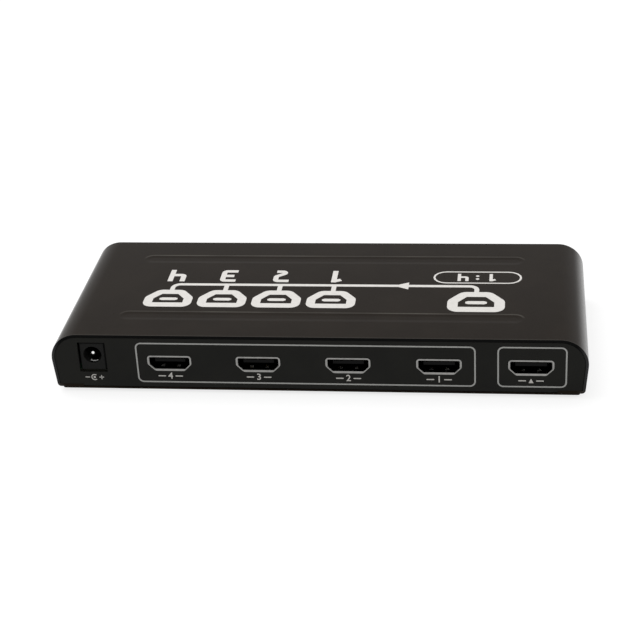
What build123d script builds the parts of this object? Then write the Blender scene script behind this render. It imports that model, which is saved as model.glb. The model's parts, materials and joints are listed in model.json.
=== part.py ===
"""Video splitter with one input and four outputs, in a bent sheet-metal case.

Millimetres, +Z up. X runs along the case, and the sockets face -Y. The origin lies under the middle of
the case, on the surface that its four feet stand on.
"""

from build123d import *
from math import cos, radians, sin, tan
import os

# Layout along the case, from the jack's side to the input's side
OUTPUT_COUNT = 4
JACK_SIDE_MARGIN = 14.5
JACK_PORT_SPACING = 27.1
PORT_PITCH = 31.0
INPUT_SIDE_MARGIN = 19.2

# Case
CASE_DEPTH = 74.3
COVER_SHEET = 1.0
PANEL_SHEET = 1.0
BASE_SHEET = 0.6
CORNER_RADIUS = 9.5
CURL_RADIUS = 1.3
SIDE_LEAN = 5.2
LIP_REACH = 8.0
FLANGE_REACH = 9.0
FOLD_RADIUS = 0.7
SEAM = 0.15
PANEL_RECESS = 0.15
PANEL_CORNER_RADIUS = 0.9
BASE_SIDE_GAP = 0.4
BASE_CORNER_RADIUS = 1.0

# Pressed bands in the top
BAND_WIDTH = 6.6
BAND_DEPTH = 0.25
BAND_SLOPE = 45
BAND_EDGE_MARGIN = 14.75
BAND_END_MARGIN = 21.7

# Screws and feet
SCREW_RADIUS = 1.25
SCREW_HEAD_RADIUS = 2.3
SCREW_HEAD_HEIGHT = 1.0
SCREW_HEAD_EDGE_RADIUS = 0.5
SCREW_TIP = 0.8
SCREW_RECESS_LENGTH = 2.5
SCREW_RECESS_WIDTH = 0.6
SCREW_RECESS_DEPTH = 0.6
HOLE_CLEARANCE = 0.2
THREAD_CLEARANCE = 0.05
LIP_SCREW_INSET = 14.0
FLANGE_SCREW_SHARE = 0.62
FOOT_RADIUS = 5.0
FOOT_THICKNESS = 1.4
FOOT_END_INSET = 16.4
FOOT_SIDE_INSET = 13.95
FOOT_EDGE_RADIUS = 0.6

# Circuit board
BOARD_THICKNESS = 1.6
BOARD_SIDE_GAP = 3.0
BOARD_END_GAP = 0.8
BOARD_CORNER_RADIUS = 1.5
STANDOFF_HEIGHT = 3.7
STANDOFF_RADIUS = 2.5
BOARD_SCREW_END_INSET = 9.0
BOARD_SCREW_SIDE_INSET = 5.0
LEG_CLEARANCE = 0.15
LEG_TAIL = 1.0
SOLDER_LEG = 0.4

# Sockets: the opening of the shell, its flared rim, and what stands inside it
OPENING_WIDTH = 14.0
OPENING_HEIGHT = 4.55
OPENING_CHAMFER = 1.8
OPENING_CORNER_RADIUS = 0.5
PORT_AXIS_HEIGHT = 3.43
SHELL_WALL = 0.4
SHELL_LENGTH = 11.5
SHELL_PROUD = 0.1
RIM_WIDTH = 0.7
RIM_DEPTH = 0.5
MOUTH_CHAMFER = 0.15
CUTOUT_CLEARANCE = 0.15
SHELL_LEG_WIDTH = 1.2
SHELL_LEG_INSET = 2.6
DIMPLE_SPACING = 5.4
DIMPLE_WIDTH = 1.3
DIMPLE_LENGTH = 2.2
DIMPLE_HEIGHT = 0.35
DIMPLE_SETBACK = 1.5
TONGUE_WIDTH = 10.6
TONGUE_THICKNESS = 1.2
TONGUE_RISE = 0.5
TONGUE_SETBACK = 1.6
BLOCK_DEPTH = 3.4
BLOCK_TAIL = 1.5
BLOCK_FIT = 0.05
CONTACT_PITCH = 1.0
CONTACT_WIDTH = 0.3
CONTACT_THICKNESS = 0.15
CONTACT_SETBACK = 0.7
CONTACT_FOOT = 1.0
UPPER_CONTACTS = 10
LOWER_CONTACTS = 9

# Power jack
JACK_WIDTH = 9.0
JACK_HEIGHT = 10.8
JACK_HEADROOM = 2.4
JACK_AXIS_HEIGHT = 6.1
JACK_SETBACK = 0.6
JACK_FRONT_LENGTH = 3.4
JACK_LENGTH = 14.0
JACK_CUTOUT_CLEARANCE = 0.4
JACK_BARREL_RADIUS = 4.1
JACK_BORE_RADIUS = 3.2
JACK_BORE_DEPTH = 10.0
JACK_EDGE_CHAMFER = 0.4
JACK_PIN_RADIUS = 1.0
JACK_PIN_SETBACK = 1.0
JACK_PIN_FIT = 0.02
JACK_PIN_TAIL = 0.5
JACK_LUG_WIDTH = 2.2
JACK_SPRING_WIDTH = 2.6
JACK_SPRING_SETBACK = 2.2
JACK_SPRING_LENGTH = 5.0
JACK_SPRING_RISE = 0.6
JACK_SPRING_TIP_SETBACK = 0.9

# Indicator lamps on the far panel
LAMP_COUNT = 6
LAMP_PITCH = 14.0
LAMP_RADIUS = 1.5
LAMP_LENGTH = 4.3
LAMP_FLANGE_RADIUS = 1.9
LAMP_FLANGE_LENGTH = 1.0
LAMP_AXIS_HEIGHT = 4.0
LAMP_HOLE_CLEARANCE = 0.1
LAMP_LEG_WIDTH = 0.5
LAMP_LEG_SPACING = 2.0
LAMP_LEG_RUN = 2.5

# Splitter chip, its pad and its heat sink
CHIP_SIZE = 16.0
CHIP_THICKNESS = 1.4
CHIP_STANDOFF = 0.1
CHIP_CHAMFER = 0.4
LEAD_PITCH = 0.8
LEADS_PER_SIDE = 18
LEAD_WIDTH = 0.35
LEAD_THICKNESS = 0.15
LEAD_RUN = 0.4
LEAD_FOOT = 0.6
PAD_SIZE = 14.0
PAD_THICKNESS = 0.5
SINK_SIZE = 20.0
SINK_BASE = 1.5
SINK_HEIGHT = 5.0
FIN_COUNT = 9
FIN_THICKNESS = 0.8
CHIP_PLACE_SHARE = (0.12, 0.25)

# Parts in line with each socket
DRIVER_SIZE = 7.0
DRIVER_THICKNESS = 0.85
DRIVER_CHAMFER = 0.15
DRIVER_GAP = 3.0
SURGE_LENGTH = 2.5
SURGE_WIDTH = 1.0
SURGE_THICKNESS = 0.5
SURGE_GAP = 0.8
SURGE_SPACING = 5.6
PASSIVE_LENGTH = 1.6
PASSIVE_WIDTH = 0.8
PASSIVE_THICKNESS = 0.5
PASSIVE_CAP = 0.3
PASSIVE_GAP = 0.9
RESISTORS_PER_PORT = 4
RESISTOR_PITCH = 1.7

# Power parts, memory and crystal, placed by shares of the board's half sizes
REGULATOR_LENGTH = 6.5
REGULATOR_WIDTH = 3.5
REGULATOR_THICKNESS = 1.6
REGULATOR_CHAMFER = 0.3
REGULATOR_TAB_WIDTH = 3.0
REGULATOR_TAB_REACH = 1.7
REGULATOR_TAB_THICKNESS = 0.3
REGULATOR_LEG_PITCH = 2.3
REGULATOR_LEG_WIDTH = 0.7
REGULATOR_PLACE_SHARES = ((-0.45, 0.12), (-0.45, 0.46))
INDUCTOR_SIZE = 8.0
INDUCTOR_HEIGHT = 4.0
INDUCTOR_CHAMFER = 1.6
INDUCTOR_CORE_RADIUS = 3.0
INDUCTOR_CORE_DEPTH = 0.4
INDUCTOR_PLACE_SHARE = (-0.66, 0.3)
CAN_RADIUS = 3.15
CAN_HEIGHT = 6.7
CAN_EDGE_RADIUS = 0.4
CAN_GROOVE_DEPTH = 0.3
CAN_GROOVE_HEIGHT = 1.3
CAN_BASE_SIZE = 6.6
CAN_BASE_HEIGHT = 1.0
CAN_BASE_CHAMFER = 1.2
CAN_PLACE_SHARES = ((-0.9, -0.2), (-0.9, 0.12), (-0.78, -0.04))
DIODE_LENGTH = 4.3
DIODE_WIDTH = 2.6
DIODE_HEIGHT = 2.2
DIODE_CHAMFER = 0.3
DIODE_PLACE_SHARE = (-0.64, -0.04)
FUSE_LENGTH = 3.2
FUSE_WIDTH = 1.6
FUSE_HEIGHT = 0.8
FUSE_CAP = 0.4
FUSE_PLACE_SHARE = (-0.8, 0.4)
CRYSTAL_LENGTH = 11.4
CRYSTAL_WIDTH = 4.6
CRYSTAL_HEIGHT = 3.5
CRYSTAL_RIM = 0.4
CRYSTAL_PLACE_SHARE = (0.37, 0.2)
MEMORY_LENGTH = 4.9
MEMORY_WIDTH = 3.9
MEMORY_THICKNESS = 1.45
MEMORY_LEADS = 4
MEMORY_LEAD_PITCH = 1.27
MEMORY_PLACE_SHARES = ((0.57, 0.2), (0.77, 0.2))

# One overrun for every cut
OVERRUN = 5.0

# Levels above the surface under the feet
base_bottom = FOOT_THICKNESS
base_top = base_bottom + BASE_SHEET
cover_bottom = base_top
flange_top = base_top + PANEL_SHEET
board_bottom = flange_top + STANDOFF_HEIGHT
board_top = board_bottom + BOARD_THICKNESS
cover_inside = board_top + JACK_HEIGHT + JACK_HEADROOM
case_top = cover_inside + COVER_SHEET
port_axis = board_top + PORT_AXIS_HEIGHT
jack_axis = board_top + JACK_AXIS_HEIGHT
lamp_axis = board_top + LAMP_AXIS_HEIGHT

# Places along the case
case_width = JACK_SIDE_MARGIN + JACK_PORT_SPACING + OUTPUT_COUNT * PORT_PITCH + INPUT_SIDE_MARGIN
jack_x = JACK_SIDE_MARGIN - case_width / 2
input_x = case_width / 2 - INPUT_SIDE_MARGIN
PORTS = {"video_input": input_x}
for number in range(1, OUTPUT_COUNT + 1):
    PORTS[f"video_output_{number}"] = input_x - number * PORT_PITCH

# Places across the case
panel_face = CASE_DEPTH / 2 - PANEL_RECESS
panel_inside = panel_face - PANEL_SHEET
board_end = panel_inside - BOARD_END_GAP
shell_front = -panel_face - SHELL_PROUD
shell_back = shell_front + SHELL_LENGTH
socket_back = shell_back + BLOCK_TAIL
contact_back = socket_back + CONTACT_THICKNESS + CONTACT_FOOT
driver_y = contact_back + DRIVER_GAP + DRIVER_SIZE / 2
jack_front = -panel_face + JACK_SETBACK
jack_back = jack_front + JACK_LENGTH

# The side wall leans inwards below the rounded corner and ends in a curl
arc_x = case_width / 2 - CORNER_RADIUS
arc_z = case_top - CORNER_RADIUS


def side_x(z, inset=0):
    """X of the leaning side wall's outer face at a height, moved inwards by an inset."""
    lean = radians(SIDE_LEAN)
    return arc_x + (CORNER_RADIUS - inset + (z - arc_z) * sin(lean)) / cos(lean)


curl_x = side_x(cover_bottom) - CURL_RADIUS
lip_end_x = curl_x - LIP_REACH
base_half_width = curl_x - BASE_SIDE_GAP
flange_half_width = lip_end_x - BASE_SIDE_GAP
board_half_width = base_half_width - BOARD_SIDE_GAP
foot_x = case_width / 2 - FOOT_END_INSET
foot_y = CASE_DEPTH / 2 - FOOT_SIDE_INSET


def block(x0, x1, y0, y1, z0, z1):
    """Box between two opposite corners."""
    size = Box(x1 - x0, y1 - y0, z1 - z0)
    return Pos((x0 + x1) / 2, (y0 + y1) / 2, (z0 + z1) / 2) * size


def post(x, y, z0, z1, radius):
    """Upright cylinder between two heights."""
    return Pos(x, y, (z0 + z1) / 2) * Cylinder(radius, z1 - z0)


def rod_y(x, z, y0, y1, radius):
    """Cylinder along Y between two places."""
    return Pos(x, (y0 + y1) / 2, z) * Rot(X=90) * Cylinder(radius, y1 - y0)


def prism_y(outline, y0, y1):
    """An outline drawn in X and Z, extruded from y0 to y1."""
    return extrude(Plane.XZ.offset(-y1) * outline, amount=y1 - y0)


def prism_x(points, x0, x1):
    """A closed outline of (y, z) points, extruded from x0 to x1."""
    outline = make_face(Polyline(*points, close=True))
    return extrude(Plane.YZ.offset(x0) * outline, amount=x1 - x0)


def board_point(share):
    """A place on the board from its shares of the board's half sizes."""
    return share[0] * board_half_width, share[1] * board_end


def save(name, *solids):
    """Write one sub-part, which may be a group of separate solids."""
    shape = solids[0] if len(solids) == 1 else Compound(children=list(solids))
    export_step(shape, os.path.join("parts", name + ".step"))


def case_outline(inset, floor, low_radius):
    """The case's end-on outline: flat top, round upper corners, leaning sides, small lower corners."""
    roof = case_top - inset
    corners = [
        (-side_x(floor, inset), floor),
        (side_x(floor, inset), floor),
        (side_x(roof, inset), roof),
        (-side_x(roof, inset), roof),
    ]
    outline = make_face(Polyline(*corners, close=True))
    outline = fillet(outline.vertices().group_by(Axis.Y)[-1], radius=CORNER_RADIUS - inset)
    return fillet(outline.vertices().group_by(Axis.Y)[0], radius=low_radius)


def port_outline(grow):
    """The socket opening's outline round its own centre, grown on all sides."""
    half_width = OPENING_WIDTH / 2 + grow
    half_height = OPENING_HEIGHT / 2 + grow
    chamfer = OPENING_CHAMFER + grow * (2 - 2 * tan(radians(22.5)))
    points = [
        (-half_width, half_height),
        (half_width, half_height),
        (half_width, chamfer - half_height),
        (half_width - chamfer, -half_height),
        (chamfer - half_width, -half_height),
        (-half_width, chamfer - half_height),
    ]
    outline = make_face(Polyline(*points, close=True))
    return fillet(outline.vertices(), radius=OPENING_CORNER_RADIUS + grow)


def port_prism(x, y0, y1, grow):
    """The socket outline on one port's axis, from y0 to y1."""
    return prism_y(Pos(x, port_axis) * port_outline(grow), y0, y1)


def screw(x, y, head_z, direction, grip):
    """Cross-recess pan-head screw whose head lies against head_z: direction 1 drives it up, -1 down."""
    head_end = head_z - direction * SCREW_HEAD_HEIGHT
    tip = head_z + direction * (grip + SCREW_TIP)
    body = post(x, y, min(head_z, head_end), max(head_z, head_end), SCREW_HEAD_RADIUS)
    rim = body.edges().filter_by(GeomType.CIRCLE).sort_by(Axis.Z)[0 if direction > 0 else -1]
    body = fillet(rim, radius=SCREW_HEAD_EDGE_RADIUS)
    body += post(x, y, min(head_z, tip), max(head_z, tip), SCREW_RADIUS)
    z0, z1 = sorted((head_end + direction * SCREW_RECESS_DEPTH, head_end - direction * OVERRUN))
    reach, half = SCREW_RECESS_LENGTH / 2, SCREW_RECESS_WIDTH / 2
    for half_x, half_y in ((reach, half), (half, reach)):
        body -= block(x - half_x, x + half_x, y - half_y, y + half_y, z0, z1)
    return body


def lip_screw_places():
    """The four screws through the cover's lips."""
    x = curl_x - LIP_REACH / 2
    y = CASE_DEPTH / 2 - LIP_SCREW_INSET
    return [(sx * x, sy * y) for sx in (-1, 1) for sy in (-1, 1)]


def flange_screw_places():
    """The four screws through the two panels' flanges."""
    x = FLANGE_SCREW_SHARE * flange_half_width
    y = panel_inside - FLANGE_REACH / 2
    return [(sx * x, sy * y) for sx in (-1, 1) for sy in (-1, 1)]


def board_screw_places():
    """The front pair stands between neighbouring sockets, the rear pair near the board's corners."""
    front = BOARD_SCREW_SIDE_INSET - board_end
    rear = board_end - BOARD_SCREW_SIDE_INSET
    jack_side = (jack_x + PORTS[f"video_output_{OUTPUT_COUNT}"]) / 2
    input_side = (PORTS["video_output_1"] + input_x) / 2
    corner = board_half_width - BOARD_SCREW_END_INSET
    return [(jack_side, front), (input_side, front), (-corner, rear), (corner, rear)]


def make_top_cover():
    """Top, sides and lower lips bent from one sheet, with two pressed bands."""
    y_end = CASE_DEPTH / 2
    sheet = case_outline(0, cover_bottom, CURL_RADIUS)
    hollow = case_outline(COVER_SHEET, cover_bottom + COVER_SHEET, max(CURL_RADIUS - COVER_SHEET, SEAM))
    cover = prism_y(sheet, -y_end, y_end) - prism_y(hollow, -y_end - OVERRUN, y_end + OVERRUN)
    lip_cut_z = cover_bottom + COVER_SHEET
    low = cover_bottom - OVERRUN
    cover -= block(-lip_end_x, lip_end_x, -y_end - OVERRUN, y_end + OVERRUN, low, lip_cut_z)
    notch = panel_inside - SEAM
    for y0, y1 in ((-y_end - OVERRUN, -notch), (notch, y_end + OVERRUN)):
        cover -= block(-curl_x, curl_x, y0, y1, low, lip_cut_z)
    length = case_width - 2 * BAND_END_MARGIN
    for side in (-1, 1):
        y = side * (y_end - BAND_EDGE_MARGIN)
        under = Plane(origin=(0, y, cover_inside), z_dir=(0, 0, -1))
        over = Plane(origin=(0, y, case_top), z_dir=(0, 0, -1))
        pad = SlotOverall(length + 2 * COVER_SHEET, BAND_WIDTH + 2 * COVER_SHEET)
        cover += extrude(under * pad, amount=BAND_DEPTH, taper=BAND_SLOPE)
        cover -= extrude(over * SlotOverall(length, BAND_WIDTH), amount=BAND_DEPTH, taper=BAND_SLOPE)
    for x, y in lip_screw_places():
        cover -= post(x, y, low, lip_cut_z + SEAM, SCREW_RADIUS + THREAD_CLEARANCE)
    return cover


def end_panel(side):
    """Blank end panel: a plate that follows the cover's inner face, with a flange folded in at its foot."""
    floor = base_top
    inset = COVER_SHEET + SEAM
    inner_radius = max(CURL_RADIUS - inset, SEAM)
    y0, y1 = sorted((side * panel_inside, side * panel_face))
    plate = prism_y(case_outline(inset, cover_bottom + inset, inner_radius), y0, y1)
    foot_half = curl_x - SEAM
    foot_height = cover_bottom + inset + inner_radius - floor
    foot = Pos(0, floor + foot_height / 2) * Rectangle(2 * foot_half, foot_height)
    foot = fillet(foot.vertices().group_by(Axis.Y)[0], radius=PANEL_CORNER_RADIUS)
    plate += prism_y(foot, y0, y1)
    y0, y1 = sorted((side * (panel_inside - FLANGE_REACH), side * panel_inside))
    panel = plate + block(-flange_half_width, flange_half_width, y0, y1, floor, flange_top)
    fold_y = side * (panel_face - FOLD_RADIUS)
    fold_z = floor + FOLD_RADIUS
    y0, y1 = sorted((fold_y, side * (panel_face + OVERRUN)))
    waste = block(-case_width / 2, case_width / 2, y0, y1, floor - OVERRUN, fold_z)
    waste -= Pos(0, fold_y, fold_z) * Rot(Y=90) * Cylinder(FOLD_RADIUS, case_width + OVERRUN)
    panel -= waste
    for x, y in flange_screw_places():
        if y * side > 0:
            panel -= post(x, y, floor - OVERRUN, flange_top + SEAM, SCREW_RADIUS + THREAD_CLEARANCE)
    return panel


def make_port_panel():
    """Panel with a cut-out for each socket's rim and one for the jack."""
    panel = end_panel(-1)
    y0, y1 = -panel_face - OVERRUN, -panel_inside + SEAM
    for x in PORTS.values():
        panel -= port_prism(x, y0, y1, RIM_WIDTH + CUTOUT_CLEARANCE)
    half = JACK_WIDTH / 2 + JACK_CUTOUT_CLEARANCE
    low = board_top - JACK_CUTOUT_CLEARANCE
    high = board_top + JACK_HEIGHT + JACK_CUTOUT_CLEARANCE
    return panel - block(jack_x - half, jack_x + half, y0, y1, low, high)


def lamp_places():
    """X of each lamp: one for power, one for the input, then the outputs."""
    return [(number - (LAMP_COUNT - 1) / 2) * LAMP_PITCH for number in range(LAMP_COUNT)]


def make_indicator_panel():
    """Panel on the far side with a round hole for each lamp."""
    panel = end_panel(1)
    radius = LAMP_RADIUS + LAMP_HOLE_CLEARANCE
    for x in lamp_places():
        panel -= rod_y(x, lamp_axis, panel_inside - SEAM, panel_face + SEAM, radius)
    return panel


def make_base_plate():
    """Flat plate under the lips and flanges, out to the panels' faces, with a hole for each case screw."""
    plate = block(-base_half_width, base_half_width, -panel_face, panel_face, base_bottom, base_top)
    plate = fillet(plate.edges().filter_by(Axis.Z), radius=BASE_CORNER_RADIUS)
    for x, y in lip_screw_places() + flange_screw_places():
        plate -= post(x, y, base_bottom - SEAM, base_top + SEAM, SCREW_RADIUS + HOLE_CLEARANCE)
    return plate


def make_case_screws():
    """Eight like screws, driven from below through the base plate into the lips and flanges."""
    lips = [screw(x, y, base_bottom, 1, BASE_SHEET + COVER_SHEET) for x, y in lip_screw_places()]
    flanges = [screw(x, y, base_bottom, 1, BASE_SHEET + PANEL_SHEET) for x, y in flange_screw_places()]
    return lips + flanges


def make_rubber_feet():
    """Four round feet stuck under the base plate, inwards of the screw heads."""
    feet = []
    for x, y in [(sx * foot_x, sy * foot_y) for sx in (-1, 1) for sy in (-1, 1)]:
        foot = post(x, y, 0, FOOT_THICKNESS, FOOT_RADIUS)
        low_edge = foot.edges().filter_by(GeomType.CIRCLE).sort_by(Axis.Z)[0]
        feet.append(fillet(low_edge, radius=FOOT_EDGE_RADIUS))
    return feet


def make_board_standoffs():
    """Round standoffs on the panels' flanges with a tapped bore."""
    bore = SCREW_RADIUS + THREAD_CLEARANCE
    standoffs = []
    for x, y in board_screw_places():
        outer = post(x, y, flange_top, board_bottom, STANDOFF_RADIUS)
        standoffs.append(outer - post(x, y, flange_top - SEAM, board_bottom + SEAM, bore))
    return standoffs


def make_board_screws():
    """Four screws down through the board into the standoffs."""
    return [screw(x, y, board_top, -1, BOARD_THICKNESS) for x, y in board_screw_places()]


def shell_leg_blocks(x):
    """The four legs of one shell: straight tabs from the side walls down through the board."""
    outer = OPENING_WIDTH / 2 + SHELL_WALL
    legs = []
    for side in (-1, 1):
        x0, x1 = sorted((x + side * (outer - SHELL_WALL), x + side * outer))
        for y in (shell_front + SHELL_LEG_INSET, shell_back - SHELL_LEG_INSET):
            y0, y1 = y - SHELL_LEG_WIDTH / 2, y + SHELL_LEG_WIDTH / 2
            legs.append(block(x0, x1, y0, y1, board_bottom - LEG_TAIL, port_axis))
    return legs


def make_socket_shell(x):
    """Folded metal shell with a flared rim, two spring dimples in its floor, and four legs."""
    shell = port_prism(x, shell_front, shell_back, SHELL_WALL)
    shell += port_prism(x, shell_front, shell_front + RIM_DEPTH, RIM_WIDTH)
    shell -= port_prism(x, shell_front - OVERRUN, shell_back + OVERRUN, 0)
    flare = loft(
        [
            Plane.XZ.offset(-shell_front - MOUTH_CHAMFER) * Pos(x, port_axis) * port_outline(0),
            Plane.XZ.offset(-shell_front) * Pos(x, port_axis) * port_outline(MOUTH_CHAMFER),
        ]
    )
    shell -= flare
    floor = port_axis - OPENING_HEIGHT / 2
    start = shell_front + DIMPLE_SETBACK
    ridge = [
        (start, floor - SHELL_WALL / 2),
        (start, floor),
        (start + DIMPLE_LENGTH / 2, floor + DIMPLE_HEIGHT),
        (start + DIMPLE_LENGTH, floor),
        (start + DIMPLE_LENGTH, floor - SHELL_WALL / 2),
    ]
    for side in (-1, 1):
        centre = x + side * DIMPLE_SPACING / 2
        shell += prism_x(ridge, centre - DIMPLE_WIDTH / 2, centre + DIMPLE_WIDTH / 2)
    for leg in shell_leg_blocks(x):
        shell += leg
    return shell


def make_socket_contacts(x):
    """One strip on each track of the tongue, out through the block, down its back and along the board."""
    tongue = port_axis + TONGUE_RISE
    front = shell_front + TONGUE_SETBACK + CONTACT_SETBACK
    back = socket_back + CONTACT_THICKNESS
    rows = (
        (UPPER_CONTACTS, tongue + TONGUE_THICKNESS / 2),
        (LOWER_CONTACTS, tongue - TONGUE_THICKNESS / 2 - CONTACT_THICKNESS),
    )
    strips = []
    for count, low in rows:
        high = low + CONTACT_THICKNESS
        foot = board_top + CONTACT_THICKNESS
        outline = [
            (front, low),
            (front, high),
            (back, high),
            (back, foot),
            (back + CONTACT_FOOT, foot),
            (back + CONTACT_FOOT, board_top),
            (socket_back, board_top),
            (socket_back, low),
        ]
        for track in range(count):
            centre = x + (track - (count - 1) / 2) * CONTACT_PITCH
            strips.append(prism_x(outline, centre - CONTACT_WIDTH / 2, centre + CONTACT_WIDTH / 2))
    return strips


def make_socket_insulator(x, contacts):
    """Tongue and the block that closes the shell's back and sits on the board."""
    tongue = port_axis + TONGUE_RISE
    half = TONGUE_THICKNESS / 2
    front = shell_front + TONGUE_SETBACK
    block_front = shell_back - BLOCK_DEPTH
    body = port_prism(x, block_front, socket_back, -BLOCK_FIT)
    x0, x1 = x - TONGUE_WIDTH / 2, x + TONGUE_WIDTH / 2
    body += block(x0, x1, front, block_front, tongue - half, tongue + half)
    seat_half = OPENING_WIDTH / 2 - BLOCK_FIT
    body += block(x - seat_half, x + seat_half, shell_back + BLOCK_FIT, socket_back, board_top, port_axis)
    for strip in contacts:
        body -= strip
    return body


def jack_lug(y0, y1, x, width):
    """Flat solder lug from the board's top down through it."""
    return block(x - width / 2, x + width / 2, y0, y1, board_bottom - LEG_TAIL, board_top)


def make_jack_pin():
    """Centre pin, riveted through the jack's back wall to its solder lug."""
    tip = jack_front + JACK_PIN_SETBACK
    pin = rod_y(jack_x, jack_axis, tip, jack_back + JACK_PIN_TAIL, JACK_PIN_RADIUS)
    front_edge = pin.edges().filter_by(GeomType.CIRCLE).sort_by(Axis.Y)[0]
    pin = fillet(front_edge, radius=JACK_PIN_RADIUS / 2)
    y1 = jack_back + SOLDER_LEG
    half = JACK_LUG_WIDTH / 2
    pin += block(jack_x - half, jack_x + half, jack_back, y1, board_bottom - LEG_TAIL, jack_axis)
    return pin


def jack_spring_slot():
    """Y of the leaf spring's lug, Y of its far end, and the floor of the slot that holds it in the bore."""
    y0 = jack_front + JACK_SPRING_SETBACK
    return y0, y0 + JACK_SPRING_LENGTH, jack_axis - JACK_BORE_RADIUS - SOLDER_LEG


def make_jack_spring():
    """Arched leaf that rises into the bore from its front tip, with a lug down through the board."""
    y0, y1, low = jack_spring_slot()
    tip = jack_front + JACK_SPRING_TIP_SETBACK
    crest = low + SOLDER_LEG + JACK_SPRING_RISE
    middle = (y0 + y1) / 2
    leaf = [
        (y0 + SOLDER_LEG, low),
        (middle, crest - SOLDER_LEG),
        (y1 - SOLDER_LEG, low),
        (y1 - SOLDER_LEG, low + SOLDER_LEG),
        (middle, crest),
        (tip, low + SOLDER_LEG),
        (tip, low),
        (y0, low),
        (y0, board_bottom - LEG_TAIL),
        (y0 + SOLDER_LEG, board_bottom - LEG_TAIL),
    ]
    return prism_x(leaf, jack_x - JACK_SPRING_WIDTH / 2, jack_x + JACK_SPRING_WIDTH / 2)


def make_jack_body():
    """Moulded body: square front, barrel behind it, blind bore for the plug."""
    half = JACK_WIDTH / 2
    front_end = jack_front + JACK_FRONT_LENGTH
    top = board_top + JACK_HEIGHT
    body = block(jack_x - half, jack_x + half, jack_front, front_end, board_top, top)
    body = chamfer(body.faces().sort_by(Axis.Y)[0].edges(), length=JACK_EDGE_CHAMFER)
    reach = JACK_BARREL_RADIUS
    body += block(jack_x - reach, jack_x + reach, front_end, jack_back, board_top, jack_axis)
    body += rod_y(jack_x, jack_axis, front_end, jack_back, reach)
    bore_end = jack_front + JACK_BORE_DEPTH
    body -= rod_y(jack_x, jack_axis, jack_front - OVERRUN, bore_end, JACK_BORE_RADIUS)
    pin_hole = JACK_PIN_RADIUS + JACK_PIN_FIT
    body -= rod_y(jack_x, jack_axis, bore_end - SEAM, jack_back + SEAM, pin_hole)
    spring_y, y1, low = jack_spring_slot()
    y0 = jack_front + JACK_SPRING_TIP_SETBACK - LEG_CLEARANCE
    half = JACK_SPRING_WIDTH / 2 + LEG_CLEARANCE
    body -= block(jack_x - half, jack_x + half, y0, y1, low, jack_axis - JACK_PIN_RADIUS)
    y0, y1 = spring_y - LEG_CLEARANCE, spring_y + SOLDER_LEG + LEG_CLEARANCE
    return body - block(jack_x - half, jack_x + half, y0, y1, board_top - SEAM, jack_axis)


def lamp_leg_drop(x, side):
    """The upright stretch of one lamp leg, down through the board."""
    centre = x + side * LAMP_LEG_SPACING / 2
    half = LAMP_LEG_WIDTH / 2
    y0 = panel_face - LAMP_LENGTH - LAMP_LEG_RUN
    return block(centre - half, centre + half, y0, y0 + 2 * half, board_bottom - LEG_TAIL, lamp_axis + half)


def lamp_leg_blocks(x):
    """The two bent legs of one lamp: back from the lamp, then down through the board."""
    y1 = panel_face - LAMP_LENGTH
    half = LAMP_LEG_WIDTH / 2
    legs = []
    for side in (-1, 1):
        centre = x + side * LAMP_LEG_SPACING / 2
        run = block(centre - half, centre + half, y1 - LAMP_LEG_RUN, y1, lamp_axis - half, lamp_axis + half)
        legs.append(run + lamp_leg_drop(x, side))
    return legs


def make_lamp(x):
    """Round lamp: a flange behind the panel and a body whose domed end fills the hole."""
    back = panel_face - LAMP_LENGTH
    lamp = rod_y(x, lamp_axis, back, back + LAMP_FLANGE_LENGTH, LAMP_FLANGE_RADIUS)
    lamp += rod_y(x, lamp_axis, back, back + LAMP_LENGTH - LAMP_RADIUS, LAMP_RADIUS)
    return lamp + Pos(x, back + LAMP_LENGTH - LAMP_RADIUS, lamp_axis) * Sphere(LAMP_RADIUS)


def leg_hole(leg, clearance=LEG_CLEARANCE):
    """The slot that a leg needs in the board."""
    low, high = leg.bounding_box().min, leg.bounding_box().max
    z0, z1 = board_bottom - SEAM, board_top + SEAM
    return block(low.X - clearance, high.X + clearance, low.Y - clearance, high.Y + clearance, z0, z1)


def make_circuit_board():
    """Board with its screw holes and a slot for every leg that passes it."""
    board = block(-board_half_width, board_half_width, -board_end, board_end, board_bottom, board_top)
    board = fillet(board.edges().filter_by(Axis.Z), radius=BOARD_CORNER_RADIUS)
    low, high = board_bottom - SEAM, board_top + SEAM
    for x, y in board_screw_places():
        board -= post(x, y, low, high, SCREW_RADIUS + HOLE_CLEARANCE)
    slots = [leg_hole(leg) for x in PORTS.values() for leg in shell_leg_blocks(x)]
    slots += [leg_hole(lamp_leg_drop(x, side)) for x in lamp_places() for side in (-1, 1)]
    spring_y = jack_spring_slot()[0]
    slots.append(leg_hole(jack_lug(spring_y, spring_y + SOLDER_LEG, jack_x, JACK_SPRING_WIDTH)))
    slots.append(leg_hole(jack_lug(jack_back, jack_back + SOLDER_LEG, jack_x, JACK_LUG_WIDTH)))
    for slot in slots:
        board -= slot
    return board


def lead(reach, height):
    """Gull-wing lead in X and Z: out of a body's side at a height, down, and out along the board."""
    knee = reach + LEAD_RUN
    return [
        (reach, height),
        (knee + LEAD_THICKNESS, height),
        (knee + LEAD_THICKNESS, board_top + LEAD_THICKNESS),
        (knee + LEAD_THICKNESS + LEAD_FOOT, board_top + LEAD_THICKNESS),
        (knee + LEAD_THICKNESS + LEAD_FOOT, board_top),
        (knee, board_top),
        (knee, height - LEAD_THICKNESS),
        (reach, height - LEAD_THICKNESS),
    ]


def lead_row(x, y, reach, height, count, pitch, quarter):
    """A row of leads on one side of a body, turned by quarter turns about the body's centre."""
    row = []
    outline = make_face(Polyline(*lead(reach, height), close=True))
    for number in range(count):
        offset = (number - (count - 1) / 2) * pitch
        strip = prism_y(outline, offset - LEAD_WIDTH / 2, offset + LEAD_WIDTH / 2)
        row.append(Pos(x, y, 0) * Rot(Z=90 * quarter) * strip)
    return row


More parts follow.
